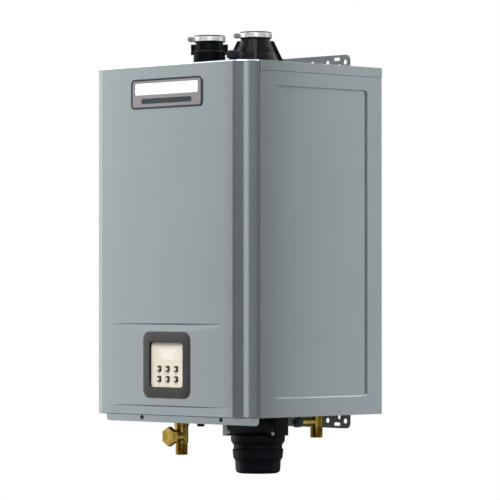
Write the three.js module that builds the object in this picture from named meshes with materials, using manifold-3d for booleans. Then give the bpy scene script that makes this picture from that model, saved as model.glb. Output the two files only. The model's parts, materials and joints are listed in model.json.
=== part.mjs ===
// Wall-hung tankless water heater, in millimetres.
// The front faces -Y, +Z is up and the wall is behind the heater.
// Inside this file the case stands on Z = 0 with its back on Y = 0; the last lines move it to its mount.

import * as THREE from 'three';
import Module from 'manifold-3d';
import { mergeVertices } from 'three/addons/utils/BufferGeometryUtils.js';

const wasm = await Module();
wasm.setup();

// Driving sizes of the casing
const caseWidth = 462;
const caseHeight = 724;
const caseDepth = 358;
const coverDepth = 41.6;
const coverRadius = 38;
const foldRadius = 3;
const sheet = 1;

// Clearances: the seam round the cover, a piece inside a hole, and how far a cutting tool overshoots
const seamGap = 0.4;
const slip = 0.3;
const overshoot = 5;
const weldDistance = 1e-4;

// Roundness: straight pieces in a full circle and in a quarter bend
const roundSteps = 20;
const fineSteps = 32;
const smallSteps = 12;
const cornerSteps = 6;
const smallCornerSteps = 3;
const tinyCornerSteps = 2;
const hexagonSides = 6;
const triangleCorners = 3;

const quarter = Math.PI / 2;
const fullTurn = Math.PI * 2;

const halfWidth = caseWidth / 2;
const seamY = -caseDepth;
const coverRearY = seamY - seamGap;
const frontY = coverRearY - coverDepth;

// Flat outlines

function point(x, y) {
  return new THREE.Vector2(x, y);
}

function arc(centreX, centreY, radius, from, to, steps) {
  const points = [];
  for (let i = 0; i <= steps; i++) {
    const angle = from + ((to - from) * i) / steps;
    points.push(point(centreX + radius * Math.cos(angle), centreY + radius * Math.sin(angle)));
  }
  return points;
}

function circle(radius, centreX = 0, centreY = 0, steps = roundSteps) {
  return arc(centreX, centreY, radius, 0, fullTurn, steps).slice(0, -1);
}

function rectangle(x0, y0, x1, y1) {
  return [point(x0, y0), point(x1, y0), point(x1, y1), point(x0, y1)];
}

function roundedRectangle(width, height, radius, centreX = 0, centreY = 0, steps = tinyCornerSteps) {
  const x = width / 2 - radius;
  const y = height / 2 - radius;
  return [
    ...arc(centreX + x, centreY + y, radius, 0, quarter, steps),
    ...arc(centreX - x, centreY + y, radius, quarter, 2 * quarter, steps),
    ...arc(centreX - x, centreY - y, radius, 2 * quarter, 3 * quarter, steps),
    ...arc(centreX + x, centreY - y, radius, 3 * quarter, 4 * quarter, steps),
  ];
}

// A hexagon across its flats, with two points up and down
function hexagon(acrossFlats, centreX, centreY) {
  const toCorner = acrossFlats / 2 / Math.cos(fullTurn / hexagonSides / 2);
  return arc(centreX, centreY, toCorner, quarter, quarter + fullTurn, hexagonSides).slice(0, -1);
}

// A circle whose edge rises and falls once for each rib
function ribbedCircle(radius, ribHeight, ribCount, centreX, centreY) {
  const points = [];
  const stepsPerRib = 4;
  const ribShape = [0, 1, 1, 0];
  for (let i = 0; i < ribCount * stepsPerRib; i++) {
    const angle = (fullTurn * i) / (ribCount * stepsPerRib);
    const r = radius - ribHeight * (1 - ribShape[i % stepsPerRib]);
    points.push(point(centreX + r * Math.cos(angle), centreY + r * Math.sin(angle)));
  }
  return points;
}

// Solids

// Turns geometry built along Z so that it runs along the named axis; a flat outline (a, b) becomes
// (x, y) for the axis z, (x, z) for the axis y and (y, z) for the axis x.
function laidAlong(axis, geometry) {
  if (axis === 'y') {
    geometry.rotateX(quarter).scale(1, -1, 1);
  }
  if (axis === 'x') {
    geometry.rotateX(quarter).rotateZ(quarter);
  }
  return geometry;
}

function slab(axis, outline, from, to, holes = []) {
  const shape = new THREE.Shape(outline);
  for (const hole of holes) {
    shape.holes.push(new THREE.Path(hole));
  }
  const geometry = new THREE.ExtrudeGeometry(shape, { depth: to - from, bevelEnabled: false });
  geometry.translate(0, 0, from);
  return laidAlong(axis, geometry);
}

function box(x0, y0, z0, x1, y1, z1) {
  return slab('z', rectangle(x0, y0, x1, y1), z0, z1);
}

// A solid whose outline changes from level to level; each level has as many points as the others
function lofted(axis, levels) {
  const clockwise = THREE.ShapeUtils.area(levels[0].outline) < 0;
  const count = levels[0].outline.length;
  const positions = [];
  const triangles = [];
  for (const level of levels) {
    const outline = clockwise ? [...level.outline].reverse() : level.outline;
    for (const p of outline) {
      positions.push(p.x, p.y, level.at);
    }
  }
  for (let k = 0; k + 1 < levels.length; k++) {
    for (let i = 0; i < count; i++) {
      const a = k * count + i;
      const b = k * count + ((i + 1) % count);
      triangles.push(a, b, b + count, a, b + count, a + count);
    }
  }
  const top = (levels.length - 1) * count;
  const capOf = (level) => {
    const outline = clockwise ? [...level.outline].reverse() : level.outline;
    return THREE.ShapeUtils.triangulateShape(outline, []);
  };
  for (const [a, b, c] of capOf(levels[0])) {
    triangles.push(c, b, a);
  }
  for (const [a, b, c] of capOf(levels[levels.length - 1])) {
    triangles.push(top + a, top + b, top + c);
  }
  const geometry = new THREE.BufferGeometry();
  geometry.setAttribute('position', new THREE.Float32BufferAttribute(positions, 3));
  geometry.setIndex(triangles);
  return laidAlong(axis, geometry);
}

// A turned solid; the profile gives pairs of radius and place along the axis
function turned(axis, profile, centre = [0, 0, 0], steps = roundSteps) {
  const points = profile.map(([radius, along]) => point(radius, along));
  if (profile[0][0] > 0 || profile[profile.length - 1][0] > 0) {
    points.push(points[0].clone());
  }
  const geometry = new THREE.LatheGeometry(points, steps);
  if (axis === 'z') {
    geometry.rotateX(quarter);
  }
  if (axis === 'x') {
    geometry.rotateZ(-quarter);
  }
  return geometry.translate(...centre);
}

function cylinder(axis, radius, from, to, centre, steps = roundSteps) {
  return turned(axis, [[0, from], [radius, from], [radius, to], [0, to]], centre, steps);
}

function ring(axis, inner, outer, from, to, centre, steps = roundSteps) {
  return turned(axis, [[inner, from], [outer, from], [outer, to], [inner, to]], centre, steps);
}

// A round bar that follows a smooth line through the given places
function bentBar(radius, places, steps) {
  const path = new THREE.CatmullRomCurve3(places.map((p) => new THREE.Vector3(...p)), false, 'centripetal');
  const shape = new THREE.Shape(circle(radius, 0, 0, smallSteps / 2));
  return new THREE.ExtrudeGeometry(shape, { steps, extrudePath: path, bevelEnabled: false });
}

function signedVolume(positions, triangles) {
  let sum = 0;
  const corner = (i) => new THREE.Vector3().fromArray(positions, triangleCorners * triangles[i]);
  for (let t = 0; t < triangles.length; t += triangleCorners) {
    const [a, b, c] = [corner(t), corner(t + 1), corner(t + 2)];
    sum += a.dot(b.cross(c));
  }
  return sum;
}

// Takes a geometry to a solid that can be joined and cut, with all its faces looking outward
function solid(source) {
  if (!source.isBufferGeometry) {
    return source;
  }
  const bare = source.clone();
  bare.deleteAttribute('normal');
  bare.deleteAttribute('uv');
  const merged = mergeVertices(bare, weldDistance);
  const index = merged.index.array;
  let triangles = [];
  for (let t = 0; t < index.length; t += triangleCorners) {
    const [a, b, c] = [index[t], index[t + 1], index[t + 2]];
    if (a !== b && b !== c && c !== a) {
      triangles.push(a, b, c);
    }
  }
  const positions = merged.attributes.position.array;
  if (signedVolume(positions, triangles) < 0) {
    triangles = triangles.reverse();
  }
  const mesh = new wasm.Mesh({
    numProp: triangleCorners,
    vertProperties: new Float32Array(positions),
    triVerts: new Uint32Array(triangles),
  });
  return new wasm.Manifold(mesh);
}

function join(first, ...others) {
  return others.reduce((whole, piece) => whole.add(solid(piece)), solid(first));
}

function cut(body, ...tools) {
  return tools.reduce((whole, tool) => whole.subtract(solid(tool)), solid(body));
}

// Casing

const emboss = {
  behindSeam: 43.5,
  fromBack: 43.5,
  fromTop: 49.3,
  fromBottom: 38.3,
  depth: 4,
  wallRun: 1.5,
  radius: 6,
};
const frontReturn = { width: 14, start: 22 };

// The shallow pressed rectangle in one side; grown is how far the tool reaches past the outside face
function embossTool(side, grown, thickness) {
  const y0 = seamY + emboss.behindSeam;
  const y1 = -emboss.fromBack;
  const z0 = emboss.fromBottom;
  const z1 = caseHeight - emboss.fromTop;
  const levelAt = (inset, at) => ({
    outline: roundedRectangle(
      y1 - y0 - 2 * inset,
      z1 - z0 - 2 * inset,
      emboss.radius,
      (y0 + y1) / 2,
      (z0 + z1) / 2,
    ),
    at,
  });
  const face = halfWidth;
  const levels = [
    levelAt(emboss.wallRun - thickness, face - emboss.depth - thickness),
    levelAt(-thickness, face - thickness),
    levelAt(-thickness, face + grown),
  ];
  const tool = lofted('x', levels);
  return side > 0 ? tool : tool.scale(-1, 1, 1);
}

function caseShell() {
  const top = caseHeight - sheet;
  let outside = solid(box(-halfWidth, seamY, 0, halfWidth, 0, top));
  let inside = solid(
    box(-halfWidth + sheet, seamY - overshoot, -overshoot, halfWidth - sheet, -sheet, caseHeight + overshoot),
  );
  for (const side of [-1, 1]) {
    outside = cut(outside, embossTool(side, overshoot, 0));
    inside = cut(inside, embossTool(side, overshoot, sheet));
  }
  let shell = cut(outside, inside);
  for (const side of [-1, 1]) {
    const outer = side * halfWidth;
    const inner = side * (halfWidth - frontReturn.width);
    shell = join(
      shell,
      box(Math.min(outer, inner), seamY, frontReturn.start, Math.max(outer, inner), seamY + sheet, top),
    );
  }
  return shell;
}

// Top panel with its side flanges
const lidFlange = 20;

// Bottom panel with upturned edges and a downturned front edge behind the cover lip
const panFlange = 18;
const panFrontDrop = 14;
const panFrontInset = 11;

// Front cover with a lip below its bottom fold, and two stepped creases that fade out sideways
const lip = { inset: 2, drop: 16, radius: 9 };
const lipScrew = { fromCentre: 119, below: 6.7, radius: 2, headRadius: 4.6, head: 2.6, shank: 8 };
const crease = { fromSide: 64, depth: 3.5, upper: 189.2, lower: 20, steps: 12 };
const creaseHalf = halfWidth - crease.fromSide;

// Control panel on the front
const bezel = { width: 139.5, height: 137.6, radius: 18, proud: 2, tub: 14, tubInset: 6, centreZ: 104.8 };
const bezelBorder = { side: 23.5, end: 22.95 };
const faceplate = {
  width: bezel.width - 2 * bezelBorder.side,
  height: bezel.height - 2 * bezelBorder.end,
  radius: 6,
  thickness: 2.4,
  recess: 4.7,
};

// Shares of the faceplate's height at which the display and the two rows of keys are centred
const lensRiseShare = 0.7475;
const upperKeysRiseShare = 0.4106;
const lowerKeysRiseShare = 0.1816;
const faceplateLow = bezel.centreZ - faceplate.height / 2;
const keyColumns = 3;
const keySideMargin = 8.45;
const lens = { width: 56, height: 26, radius: 3, centreZ: faceplateLow + faceplate.height * lensRiseShare };
const key = {
  width: 12.6,
  height: 12.3,
  radius: 2.2,
  proud: 1.2,
  pitchX: (faceplate.width - 2 * keySideMargin) / keyColumns,
  upperZ: faceplateLow + faceplate.height * upperKeysRiseShare,
  lowerZ: faceplateLow + faceplate.height * lowerKeysRiseShare,
};
const keyRim = { width: 1.4, thickness: 1 };
const keyPost = { radius: 2.4, length: 0.8 };
const keyTravel = 0.8;

function coverLevels(inset, from, to, rearY, bend) {
  const levels = [];
  const outlineAt = (extra) => {
    const side = halfWidth - inset - extra;
    const front = frontY + inset + extra;
    const radius = coverRadius - inset - extra;
    return [
      point(side, rearY),
      point(-side, rearY),
      ...arc(-side + radius, front + radius, radius, 2 * quarter, 3 * quarter, cornerSteps),
      ...arc(side - radius, front + radius, radius, 3 * quarter, 4 * quarter, cornerSteps),
    ];
  };
  for (let i = 0; i <= smallCornerSteps; i++) {
    const angle = (quarter * i) / smallCornerSteps;
    const rise = bend * (1 - Math.cos(angle));
    levels.push({ outline: outlineAt(bend * (1 - Math.sin(angle))), at: from + rise });
  }
  for (let i = smallCornerSteps; i >= 0; i--) {
    const angle = (quarter * i) / smallCornerSteps;
    const rise = bend * (1 - Math.cos(angle));
    levels.push({ outline: outlineAt(bend * (1 - Math.sin(angle))), at: to - rise });
  }
  return levels;
}

// The very flat round tool that presses a crease: its depth is full at mid width and nothing at both ends
function creaseTool(z0, z1, depthAtTop, depthAtBottom, thickness) {
  const outlineAt = (depth) => {
    const curved = [];
    for (let i = 0; i <= crease.steps; i++) {
      const share = (2 * i) / crease.steps - 1;
      const x = share * creaseHalf;
      curved.push(point(x, frontY + thickness + depth * (1 - share * share)));
    }
    const clear = frontY - overshoot;
    return [point(creaseHalf, clear), ...curved.reverse(), point(-creaseHalf, clear)];
  };
  return lofted('z', [
    { outline: outlineAt(depthAtBottom), at: z0 },
    { outline: outlineAt(depthAtTop), at: z1 },
  ]);
}

function frontCover() {
  const outside = lofted('z', coverLevels(0, 0, caseHeight, coverRearY, foldRadius));
  const insideBend = foldRadius - sheet;
  const inside = lofted(
    'z',
    coverLevels(sheet, sheet, caseHeight - sheet, coverRearY + overshoot, insideBend),
  );
  const faint = sheet / 10;
  const pressed = cut(
    outside,
    creaseTool(crease.lower, crease.upper, crease.depth, faint, 0),
    creaseTool(-overshoot, crease.lower, crease.depth, crease.depth, 0),
  );
  const hollow = cut(
    inside,
    creaseTool(crease.lower, crease.upper + sheet, crease.depth, faint, sheet),
    creaseTool(-overshoot, crease.lower + sheet, crease.depth, crease.depth, sheet),
  );
  const lipHalf = halfWidth - lip.inset;
  const cornerX = lipHalf - lip.radius;
  const cornerZ = -lip.drop + lip.radius;
  const lipOutline = [
    point(lipHalf, sheet),
    point(-lipHalf, sheet),
    ...arc(-cornerX, cornerZ, lip.radius, 2 * quarter, 3 * quarter, smallCornerSteps),
    ...arc(cornerX, cornerZ, lip.radius, 3 * quarter, 4 * quarter, smallCornerSteps),
  ];
  const holes = [-1, 1].map((side) =>
    circle(lipScrew.radius + slip, side * lipScrew.fromCentre, -lipScrew.below, smallSteps),
  );
  const opening = roundedRectangle(
    bezel.width - 2 * bezel.tubInset + 2 * slip,
    bezel.height - 2 * bezel.tubInset + 2 * slip,
    bezel.radius - bezel.tubInset,
    0,
    bezel.centreZ,
    smallCornerSteps,
  );
  return cut(
    join(cut(pressed, hollow), slab('y', lipOutline, coverRearY - sheet, coverRearY, holes)),
    slab('y', opening, frontY - overshoot, coverRearY - lip.drop),
  );
}

function coverScrew(side) {
  const centre = [side * lipScrew.fromCentre, coverRearY - sheet, -lipScrew.below];
  const headFlats = 2 * lipScrew.headRadius * Math.cos(quarter / 3);
  return join(
    slab('y', hexagon(headFlats, centre[0], centre[2]), centre[1] - lipScrew.head, centre[1]),
    cylinder('y', lipScrew.radius, 0, lipScrew.shank, centre, smallSteps),
  );
}

// Nameplate: a plain plate with a raised rim
const plate = { width: 214, height: 62, radius: 10, thickness: 2, rim: 4.5, sink: 0.8, fromTop: 59 };
const plateZ = caseHeight - plate.fromTop;

function nameplate() {
  const { width, height, radius } = plate;
  const outline = roundedRectangle(width, height, radius, 0, plateZ, smallCornerSteps);
  const field = roundedRectangle(
    plate.width - 2 * plate.rim,
    plate.height - 2 * plate.rim,
    plate.radius - plate.rim,
    0,
    plateZ,
    smallCornerSteps,
  );
  return cut(
    slab('y', outline, frontY - plate.thickness, frontY),
    slab('y', field, frontY - plate.thickness - overshoot, frontY - plate.thickness + plate.sink),
  );
}

const bezelFrontY = frontY - bezel.proud;
const faceplateY = bezelFrontY + faceplate.recess;
const faceplateRearY = faceplateY + faceplate.thickness;
const keyBackY = faceplateRearY + keyRim.thickness + slip;
const boardY = keyBackY + keyPost.length + keyTravel;

function controlBezel() {
  const outline = (inset) =>
    roundedRectangle(
      bezel.width - 2 * inset,
      bezel.height - 2 * inset,
      bezel.radius - inset,
      0,
      bezel.centreZ,
      smallCornerSteps,
    );
  const rim = slab('y', outline(0), bezelFrontY, frontY - slip / 3);
  const tub = slab('y', outline(bezel.tubInset), bezelFrontY, frontY + bezel.tub);
  const window = roundedRectangle(
    faceplate.width + 2 * slip,
    faceplate.height + 2 * slip,
    faceplate.radius,
    0,
    bezel.centreZ,
  );
  const pocket = roundedRectangle(
    faceplate.width + 2 * bezel.tubInset,
    faceplate.height + 2 * bezel.tubInset,
    faceplate.radius,
    0,
    bezel.centreZ,
  );
  const ledgeDepth = faceplate.recess + faceplate.thickness;
  return cut(
    join(rim, tub),
    slab('y', window, bezelFrontY - overshoot, frontY + bezel.tub + overshoot),
    slab('y', pocket, bezelFrontY + ledgeDepth + slip, frontY + bezel.tub + overshoot),
  );
}

function keyPlaces() {
  const places = [];
  for (const z of [key.upperZ, key.lowerZ]) {
    for (const column of [-1, 0, 1]) {
      places.push([column * key.pitchX, z]);
    }
  }
  return places;
}

function controlFaceplate() {
  const outline = roundedRectangle(faceplate.width, faceplate.height, faceplate.radius, 0, bezel.centreZ);
  const keyHole = ([x, z]) => roundedRectangle(key.width + 2 * slip, key.height + 2 * slip, key.radius, x, z);
  const holes = keyPlaces().map(keyHole);
  const lensHole = roundedRectangle(lens.width + slip, lens.height + slip, lens.radius, 0, lens.centreZ);
  const plateSolid = slab('y', outline, faceplateY, faceplateRearY, [...holes, lensHole]);
  const tab = roundedRectangle(
    faceplate.width + bezel.tubInset,
    faceplate.height + bezel.tubInset,
    faceplate.radius,
    0,
    bezel.centreZ,
  );
  const tabWindow = roundedRectangle(
    faceplate.width - bezel.tubInset,
    faceplate.height - bezel.tubInset,
    faceplate.radius,
    0,
    bezel.centreZ,
  );
  return join(
    plateSolid,
    slab('y', outline, faceplateRearY, faceplateRearY + slip, [tabWindow]),
    slab('y', tab, faceplateRearY + slip, faceplateRearY + slip + sheet, [tabWindow]),
  );
}

function displayLens() {
  const outline = roundedRectangle(lens.width, lens.height, lens.radius, 0, lens.centreZ);
  return slab('y', outline, faceplateY, faceplateRearY);
}

// One key: a low domed cap, a retaining rim behind the faceplate and a post toward its switch
function pushKey([x, z]) {
  const cap = (inset) =>
    roundedRectangle(key.width - 2 * inset, key.height - 2 * inset, key.radius, x, z);
  const dome = key.proud / 2;
  const rimBack = faceplateRearY + slip + keyRim.thickness;
  return join(
    lofted('y', [
      { outline: cap(dome), at: faceplateY - key.proud },
      { outline: cap(0), at: faceplateY - key.proud + dome },
      { outline: cap(0), at: rimBack },
    ]),
    slab(
      'y',
      roundedRectangle(key.width + 2 * keyRim.width, key.height + 2 * keyRim.width, key.radius, x, z),
      faceplateRearY + slip,
      rimBack,
    ),
    cylinder('y', keyPost.radius, 0, keyPost.length, [x, rimBack, z], smallSteps),
  );
}

// Circuit board with the digit block behind the lens
const boardThickness = 1.6;

function displayBoard() {
  const width = faceplate.width + bezel.tubInset - slip;
  const height = faceplate.height + bezel.tubInset - slip;
  const base = slab(
    'y',
    roundedRectangle(width, height, faceplate.radius, 0, bezel.centreZ),
    boardY,
    boardY + boardThickness,
  );
  const digits = box(
    -lens.width / 2,
    faceplateRearY + slip,
    lens.centreZ - lens.height / 2,
    lens.width / 2,
    boardY,
    lens.centreZ + lens.height / 2,
  );
  return join(base, digits);
}

// Vent collars on the top panel

const vent = {
  fromCentre: 69.5,
  fromBack: 211.6,
  mouthRadius: 33,
  mouthTop: 72.4,
  mouthBottom: 59.5,
  upstand: 2,
  socketRadius: 30.3,
  flange: 5,
  spigot: 15,
  wall: 3,
};
const exhaust = {
  flangeRadius: 62,
  baseRadius: 52,
  ringLow: 28,
  ringLowRadius: 41.5,
  ringHigh: 41,
  ringHighRadius: 36.2,
  ringStep: 1,
  neckRadius: 30,
  neckZ: 57.5,
  boreRadius: 36,
  throatRadius: 26.5,
  throatZ: 34,
  ribThickness: 3,
  ribTop: 54,
  ribTopRadius: 38,
  ribRootShare: 0.93,
};
const intake = {
  flangeRadius: 56,
  baseRadius: 34.5,
  stepZ: 39,
  stepRadius: 32,
  neckRadius: 28.5,
  boreRadius: 25.5,
  lugRadius: 39.2,
  lugLow: 32,
  lugHigh: 54,
  lugThickness: 9,
};
const diagonal = Math.PI / 4;

function ventCentre(side) {
  return [side * vent.fromCentre, -vent.fromBack, caseHeight];
}

// A flat rib standing in the (radius, height) plane, turned about the collar to its angle
function collarRib(outline, thickness, angle, centre) {
  return slab('y', outline, -thickness / 2, thickness / 2).rotateZ(angle).translate(...centre);
}

function exhaustCollar() {
  const centre = ventCentre(1);
  const body = turned(
    'z',
    [
      [exhaust.boreRadius, -vent.spigot],
      [exhaust.boreRadius + vent.wall, -vent.spigot],
      [exhaust.boreRadius + vent.wall, 0],
      [exhaust.flangeRadius, 0],
      [exhaust.flangeRadius, vent.flange],
      [exhaust.baseRadius, vent.flange],
      [exhaust.ringLowRadius + exhaust.ringStep, exhaust.ringLow],
      [exhaust.ringLowRadius, exhaust.ringLow],
      [exhaust.ringHighRadius + exhaust.ringStep, exhaust.ringHigh],
      [exhaust.ringHighRadius, exhaust.ringHigh],
      [exhaust.neckRadius, exhaust.neckZ],
      [vent.mouthRadius, vent.mouthBottom],
      [vent.socketRadius - slip, vent.mouthBottom],
      [vent.socketRadius - slip, vent.mouthBottom + vent.upstand],
      [exhaust.throatRadius, vent.mouthBottom + vent.upstand],
      [exhaust.throatRadius, exhaust.neckZ - vent.wall],
      [exhaust.boreRadius, exhaust.throatZ],
    ],
    centre,
  );
  const foot = exhaust.baseRadius * exhaust.ribRootShare;
  const rib = [
    point(foot, vent.flange - sheet),
    point(exhaust.flangeRadius - sheet, vent.flange - sheet),
    point(exhaust.flangeRadius - sheet, vent.flange + sheet),
    point(exhaust.ribTopRadius, exhaust.ribTop),
    point(exhaust.neckRadius, exhaust.ribTop),
  ];
  const ribs = [1, 3, 5, 7].map((turns) => collarRib(rib, exhaust.ribThickness, turns * diagonal, centre));
  return join(body, ...ribs);
}

function intakeCollar() {
  const centre = ventCentre(-1);
  const body = turned(
    'z',
    [
      [intake.boreRadius, -vent.spigot],
      [intake.boreRadius + vent.wall, -vent.spigot],
      [intake.boreRadius + vent.wall, 0],
      [intake.flangeRadius, 0],
      [intake.flangeRadius, vent.flange],
      [intake.baseRadius, vent.flange],
      [intake.stepRadius + exhaust.ringStep, intake.stepZ],
      [intake.stepRadius - exhaust.ringStep, intake.stepZ],
      [intake.neckRadius, exhaust.neckZ],
      [vent.mouthRadius, vent.mouthBottom],
      [vent.socketRadius - slip, vent.mouthBottom],
      [vent.socketRadius - slip, vent.mouthBottom + vent.upstand],
      [intake.boreRadius, vent.mouthBottom + vent.upstand],
    ],
    centre,
  );
  const lug = rectangle(intake.neckRadius - sheet, intake.lugLow, intake.lugRadius, intake.lugHigh);
  const lugs = [1, 5].map((turns) => collarRib(lug, intake.lugThickness, turns * diagonal, centre));
  return join(body, ...lugs);
}

// Rubber sleeve that the clamp squeezes onto the vent pipe; it stands on the collar's rim round its upstand
function ventSeal(side) {
  return ring('z', vent.socketRadius, vent.mouthRadius, vent.mouthBottom, vent.mouthTop, ventCentre(side));
}

// Worm-drive clamp: a band, the screw housing on it and the screw along the band's tangent
const clamp = {
  low: 60.4,
  high: 69.6,
  band: 1.2,
  housing: 11,
  housingReach: 8,
  housingHigh: 67.6,
  screwRadius: 4,
  screwLength: 21,
  angle: Math.PI * 1.25,
};

function ventClamp(side) {
  const centre = ventCentre(side);
  const inner = vent.mouthRadius + slip;
  const outer = inner + clamp.band;
  const band = ring('z', inner, outer, clamp.low, clamp.high, centre);
  const housing = box(
    outer - clamp.band / 2,
    -clamp.housing / 2,
    clamp.low,
    outer + clamp.housingReach,
    clamp.housing / 2,
    clamp.housingHigh,
  );
  const screwX = outer + clamp.housingReach - clamp.screwRadius / 2;
  const screwZ = (clamp.low + clamp.housingHigh) / 2;
  const screwHalf = clamp.screwLength / 2;
  const screw = cylinder('y', clamp.screwRadius, -screwHalf, screwHalf, [screwX, 0, screwZ], smallSteps);
  const place = (piece) => piece.rotateZ(clamp.angle).translate(...centre);
  return join(band, place(housing), place(screw));
}

// Capped test port in front of the collars
const testPort = { x: 83, fromBack: 290, stemRadius: 8, stem: 14, capRadius: 13.4, capTop: 30, round: 3 };

function testPortCap() {
  return turned(
    'z',
    [
      [0, 0],
      [testPort.capRadius, 0],
      [testPort.capRadius, testPort.round],
      [testPort.stemRadius, testPort.round],
      [testPort.stemRadius, testPort.stem],
      [testPort.capRadius, testPort.stem],
      [testPort.capRadius, testPort.capTop - testPort.round],
      [testPort.capRadius - testPort.round, testPort.capTop],
      [0, testPort.capTop],
    ],
    [testPort.x, -testPort.fromBack, caseHeight],
    smallSteps,
  );
}

function topPanel() {
  const outer = halfWidth + sheet;
  const deck = caseHeight - sheet;
  const holes = [
    circle(exhaust.boreRadius + vent.wall + slip, vent.fromCentre, -vent.fromBack),
    circle(intake.boreRadius + vent.wall + slip, -vent.fromCentre, -vent.fromBack),
  ];
  const flat = slab('z', rectangle(-outer, seamY, outer, 0), deck, caseHeight, holes);
  const flange = (x) => box(x, seamY, caseHeight - lidFlange, x + sheet, 0, caseHeight);
  return join(flat, flange(halfWidth), flange(-outer));
}

// Wall brackets: one pattern used at the top and, turned over, at the bottom
const bracket = {
  width: 277,
  height: 60,
  stand: 33.5,
  thickness: 2,
  radius: 11,
  holeRadius: 5.5,
  holeFromCase: 18,
  holePlaces: [27, 72.5, 124.7],
  slot: { x: 100.5, fromCase: 25, length: 18.5, height: 7 },
  notch: { x: 106.5, fromCase: 8, length: 13, width: 7.5 },
};

function wallBracket(edgeZ, up) {
  const centreZ = edgeZ + up * (bracket.stand - bracket.height / 2);
  const { width, height, radius } = bracket;
  const outline = roundedRectangle(width, height, radius, 0, centreZ, smallCornerSteps);
  const holes = [];
  for (const side of [-1, 1]) {
    for (const x of bracket.holePlaces) {
      holes.push(circle(bracket.holeRadius, side * x, edgeZ + up * bracket.holeFromCase, smallSteps));
    }
    const { slot, notch } = bracket;
    const slotZ = edgeZ + up * slot.fromCase;
    const notchZ = edgeZ + up * notch.fromCase;
    holes.push(
      roundedRectangle(slot.length, slot.height, slot.height / 2 - sheet, side * slot.x, slotZ),
      roundedRectangle(notch.width, notch.length, notch.width / 2 - sheet, side * notch.x, notchZ),
    );
  }
  return slab('y', outline, 0, bracket.thickness, holes);
}

// Water and gas connections under the case

const thread = { radius: 13.35, bore: 9.5 };

const teeFromSide = 85;
const tee = {
  x: -halfWidth + teeFromSide,
  fromBack: 220,
  stubTop: 30,
  collarRadius: 15.6,
  collarLow: -30,
  bodyRadius: 14.2,
  bodyLow: -66,
  threadLow: -91,
  armRadius: 13.8,
  armZ: -51.5,
  armReach: 28.5,
  plugFlats: 36.5,
  plugHead: 11.5,
  plugShank: 12,
  plugRadius: 9.2,
};

function outletTee() {
  const centre = [tee.x, -tee.fromBack, 0];
  const outside = turned(
    'z',
    [
      [0, tee.threadLow],
      [thread.radius, tee.threadLow],
      [thread.radius, tee.bodyLow],
      [tee.bodyRadius, tee.bodyLow],
      [tee.bodyRadius, tee.collarLow],
      [tee.collarRadius, tee.collarLow],
      [tee.collarRadius, 0],
      [thread.radius, 0],
      [thread.radius, tee.stubTop],
      [0, tee.stubTop],
    ],
    centre,
  );
  const arm = cylinder('y', tee.armRadius, -tee.armReach, 0, [tee.x, -tee.fromBack, tee.armZ]);
  const boreLow = tee.threadLow - overshoot;
  const bore = cylinder('z', thread.bore, boreLow, tee.stubTop + overshoot, centre, smallSteps);
  const armBore = cylinder(
    'y',
    tee.plugRadius + slip,
    -tee.armReach - overshoot,
    0,
    [tee.x, -tee.fromBack, tee.armZ],
    smallSteps,
  );
  return cut(join(outside, arm), bore, armBore);
}

function teePlug() {
  const seat = -tee.fromBack - tee.armReach;
  return join(
    slab('y', hexagon(tee.plugFlats, tee.x, tee.armZ), seat - tee.plugHead, seat),
    cylinder('y', tee.plugRadius, -sheet, tee.plugShank, [tee.x, seat, tee.armZ], smallSteps),
  );
}

const elbowFromSide = 74;
const elbow = {
  x: halfWidth - elbowFromSide,
  fromBack: 120,
  stubTop: 30,
  threadLow: -48,
  bodyLow: -25,
  bodyRadius: 14.4,
  armRadius: 9,
  armZ: -14.5,
  armReach: 49,
  armBore: 6.6,
};
const drain = { radius: 11.2, length: 15, ribs: 12, ribHeight: 1, recessRadius: 5, recess: 6, stem: 8 };
const basket = { radius: 5.8, bore: 4.8, length: 30 };

function inletElbow() {
  const centre = [elbow.x, -elbow.fromBack, 0];
  const outside = turned(
    'z',
    [
      [0, elbow.threadLow],
      [thread.radius, elbow.threadLow],
      [thread.radius, elbow.bodyLow],
      [elbow.bodyRadius, elbow.bodyLow],
      [elbow.bodyRadius, 0],
      [thread.radius, 0],
      [thread.radius, elbow.stubTop],
      [0, elbow.stubTop],
    ],
    centre,
  );
  const armAt = [elbow.x, -elbow.fromBack, elbow.armZ];
  const arm = cylinder('y', elbow.armRadius, -elbow.armReach, 0, armAt, smallSteps + smallSteps / 2);
  return cut(
    join(outside, arm),
    cylinder('z', thread.bore, elbow.threadLow - overshoot, elbow.stubTop + overshoot, centre, smallSteps),
    cylinder('y', elbow.armBore, -elbow.armReach - overshoot, 0, armAt, smallSteps),
  );
}

// Ribbed knob that closes the elbow's arm; the strainer basket is pushed onto its stem
function drainKnob() {
  const rear = -elbow.fromBack - elbow.armReach;
  const front = rear - drain.length;
  const grip = ribbedCircle(drain.radius, drain.ribHeight, drain.ribs, elbow.x, elbow.armZ);
  const body = slab('y', grip, front, rear);
  const stem = cylinder('y', basket.radius, -sheet, drain.stem, [elbow.x, rear, elbow.armZ], smallSteps);
  const recessAt = [elbow.x, front, elbow.armZ];
  const recess = cylinder('y', drain.recessRadius, -overshoot, drain.recess, recessAt, smallSteps);
  return cut(join(body, stem), recess);
}

function strainer() {
  const start = -elbow.fromBack - elbow.armReach + drain.stem;
  const end = start + basket.length;
  return turned(
    'y',
    [
      [0, start],
      [basket.radius, start],
      [basket.radius, end],
      [basket.bore, end],
      [basket.bore, start + sheet],
      [0, start + sheet],
    ],
    [elbow.x, 0, elbow.armZ],
    smallSteps,
  );
}

const gas = { x: 20, fromBack: 120, stubTop: 26, hexFlats: 34, hexLow: -18, threadLow: -45 };

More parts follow.
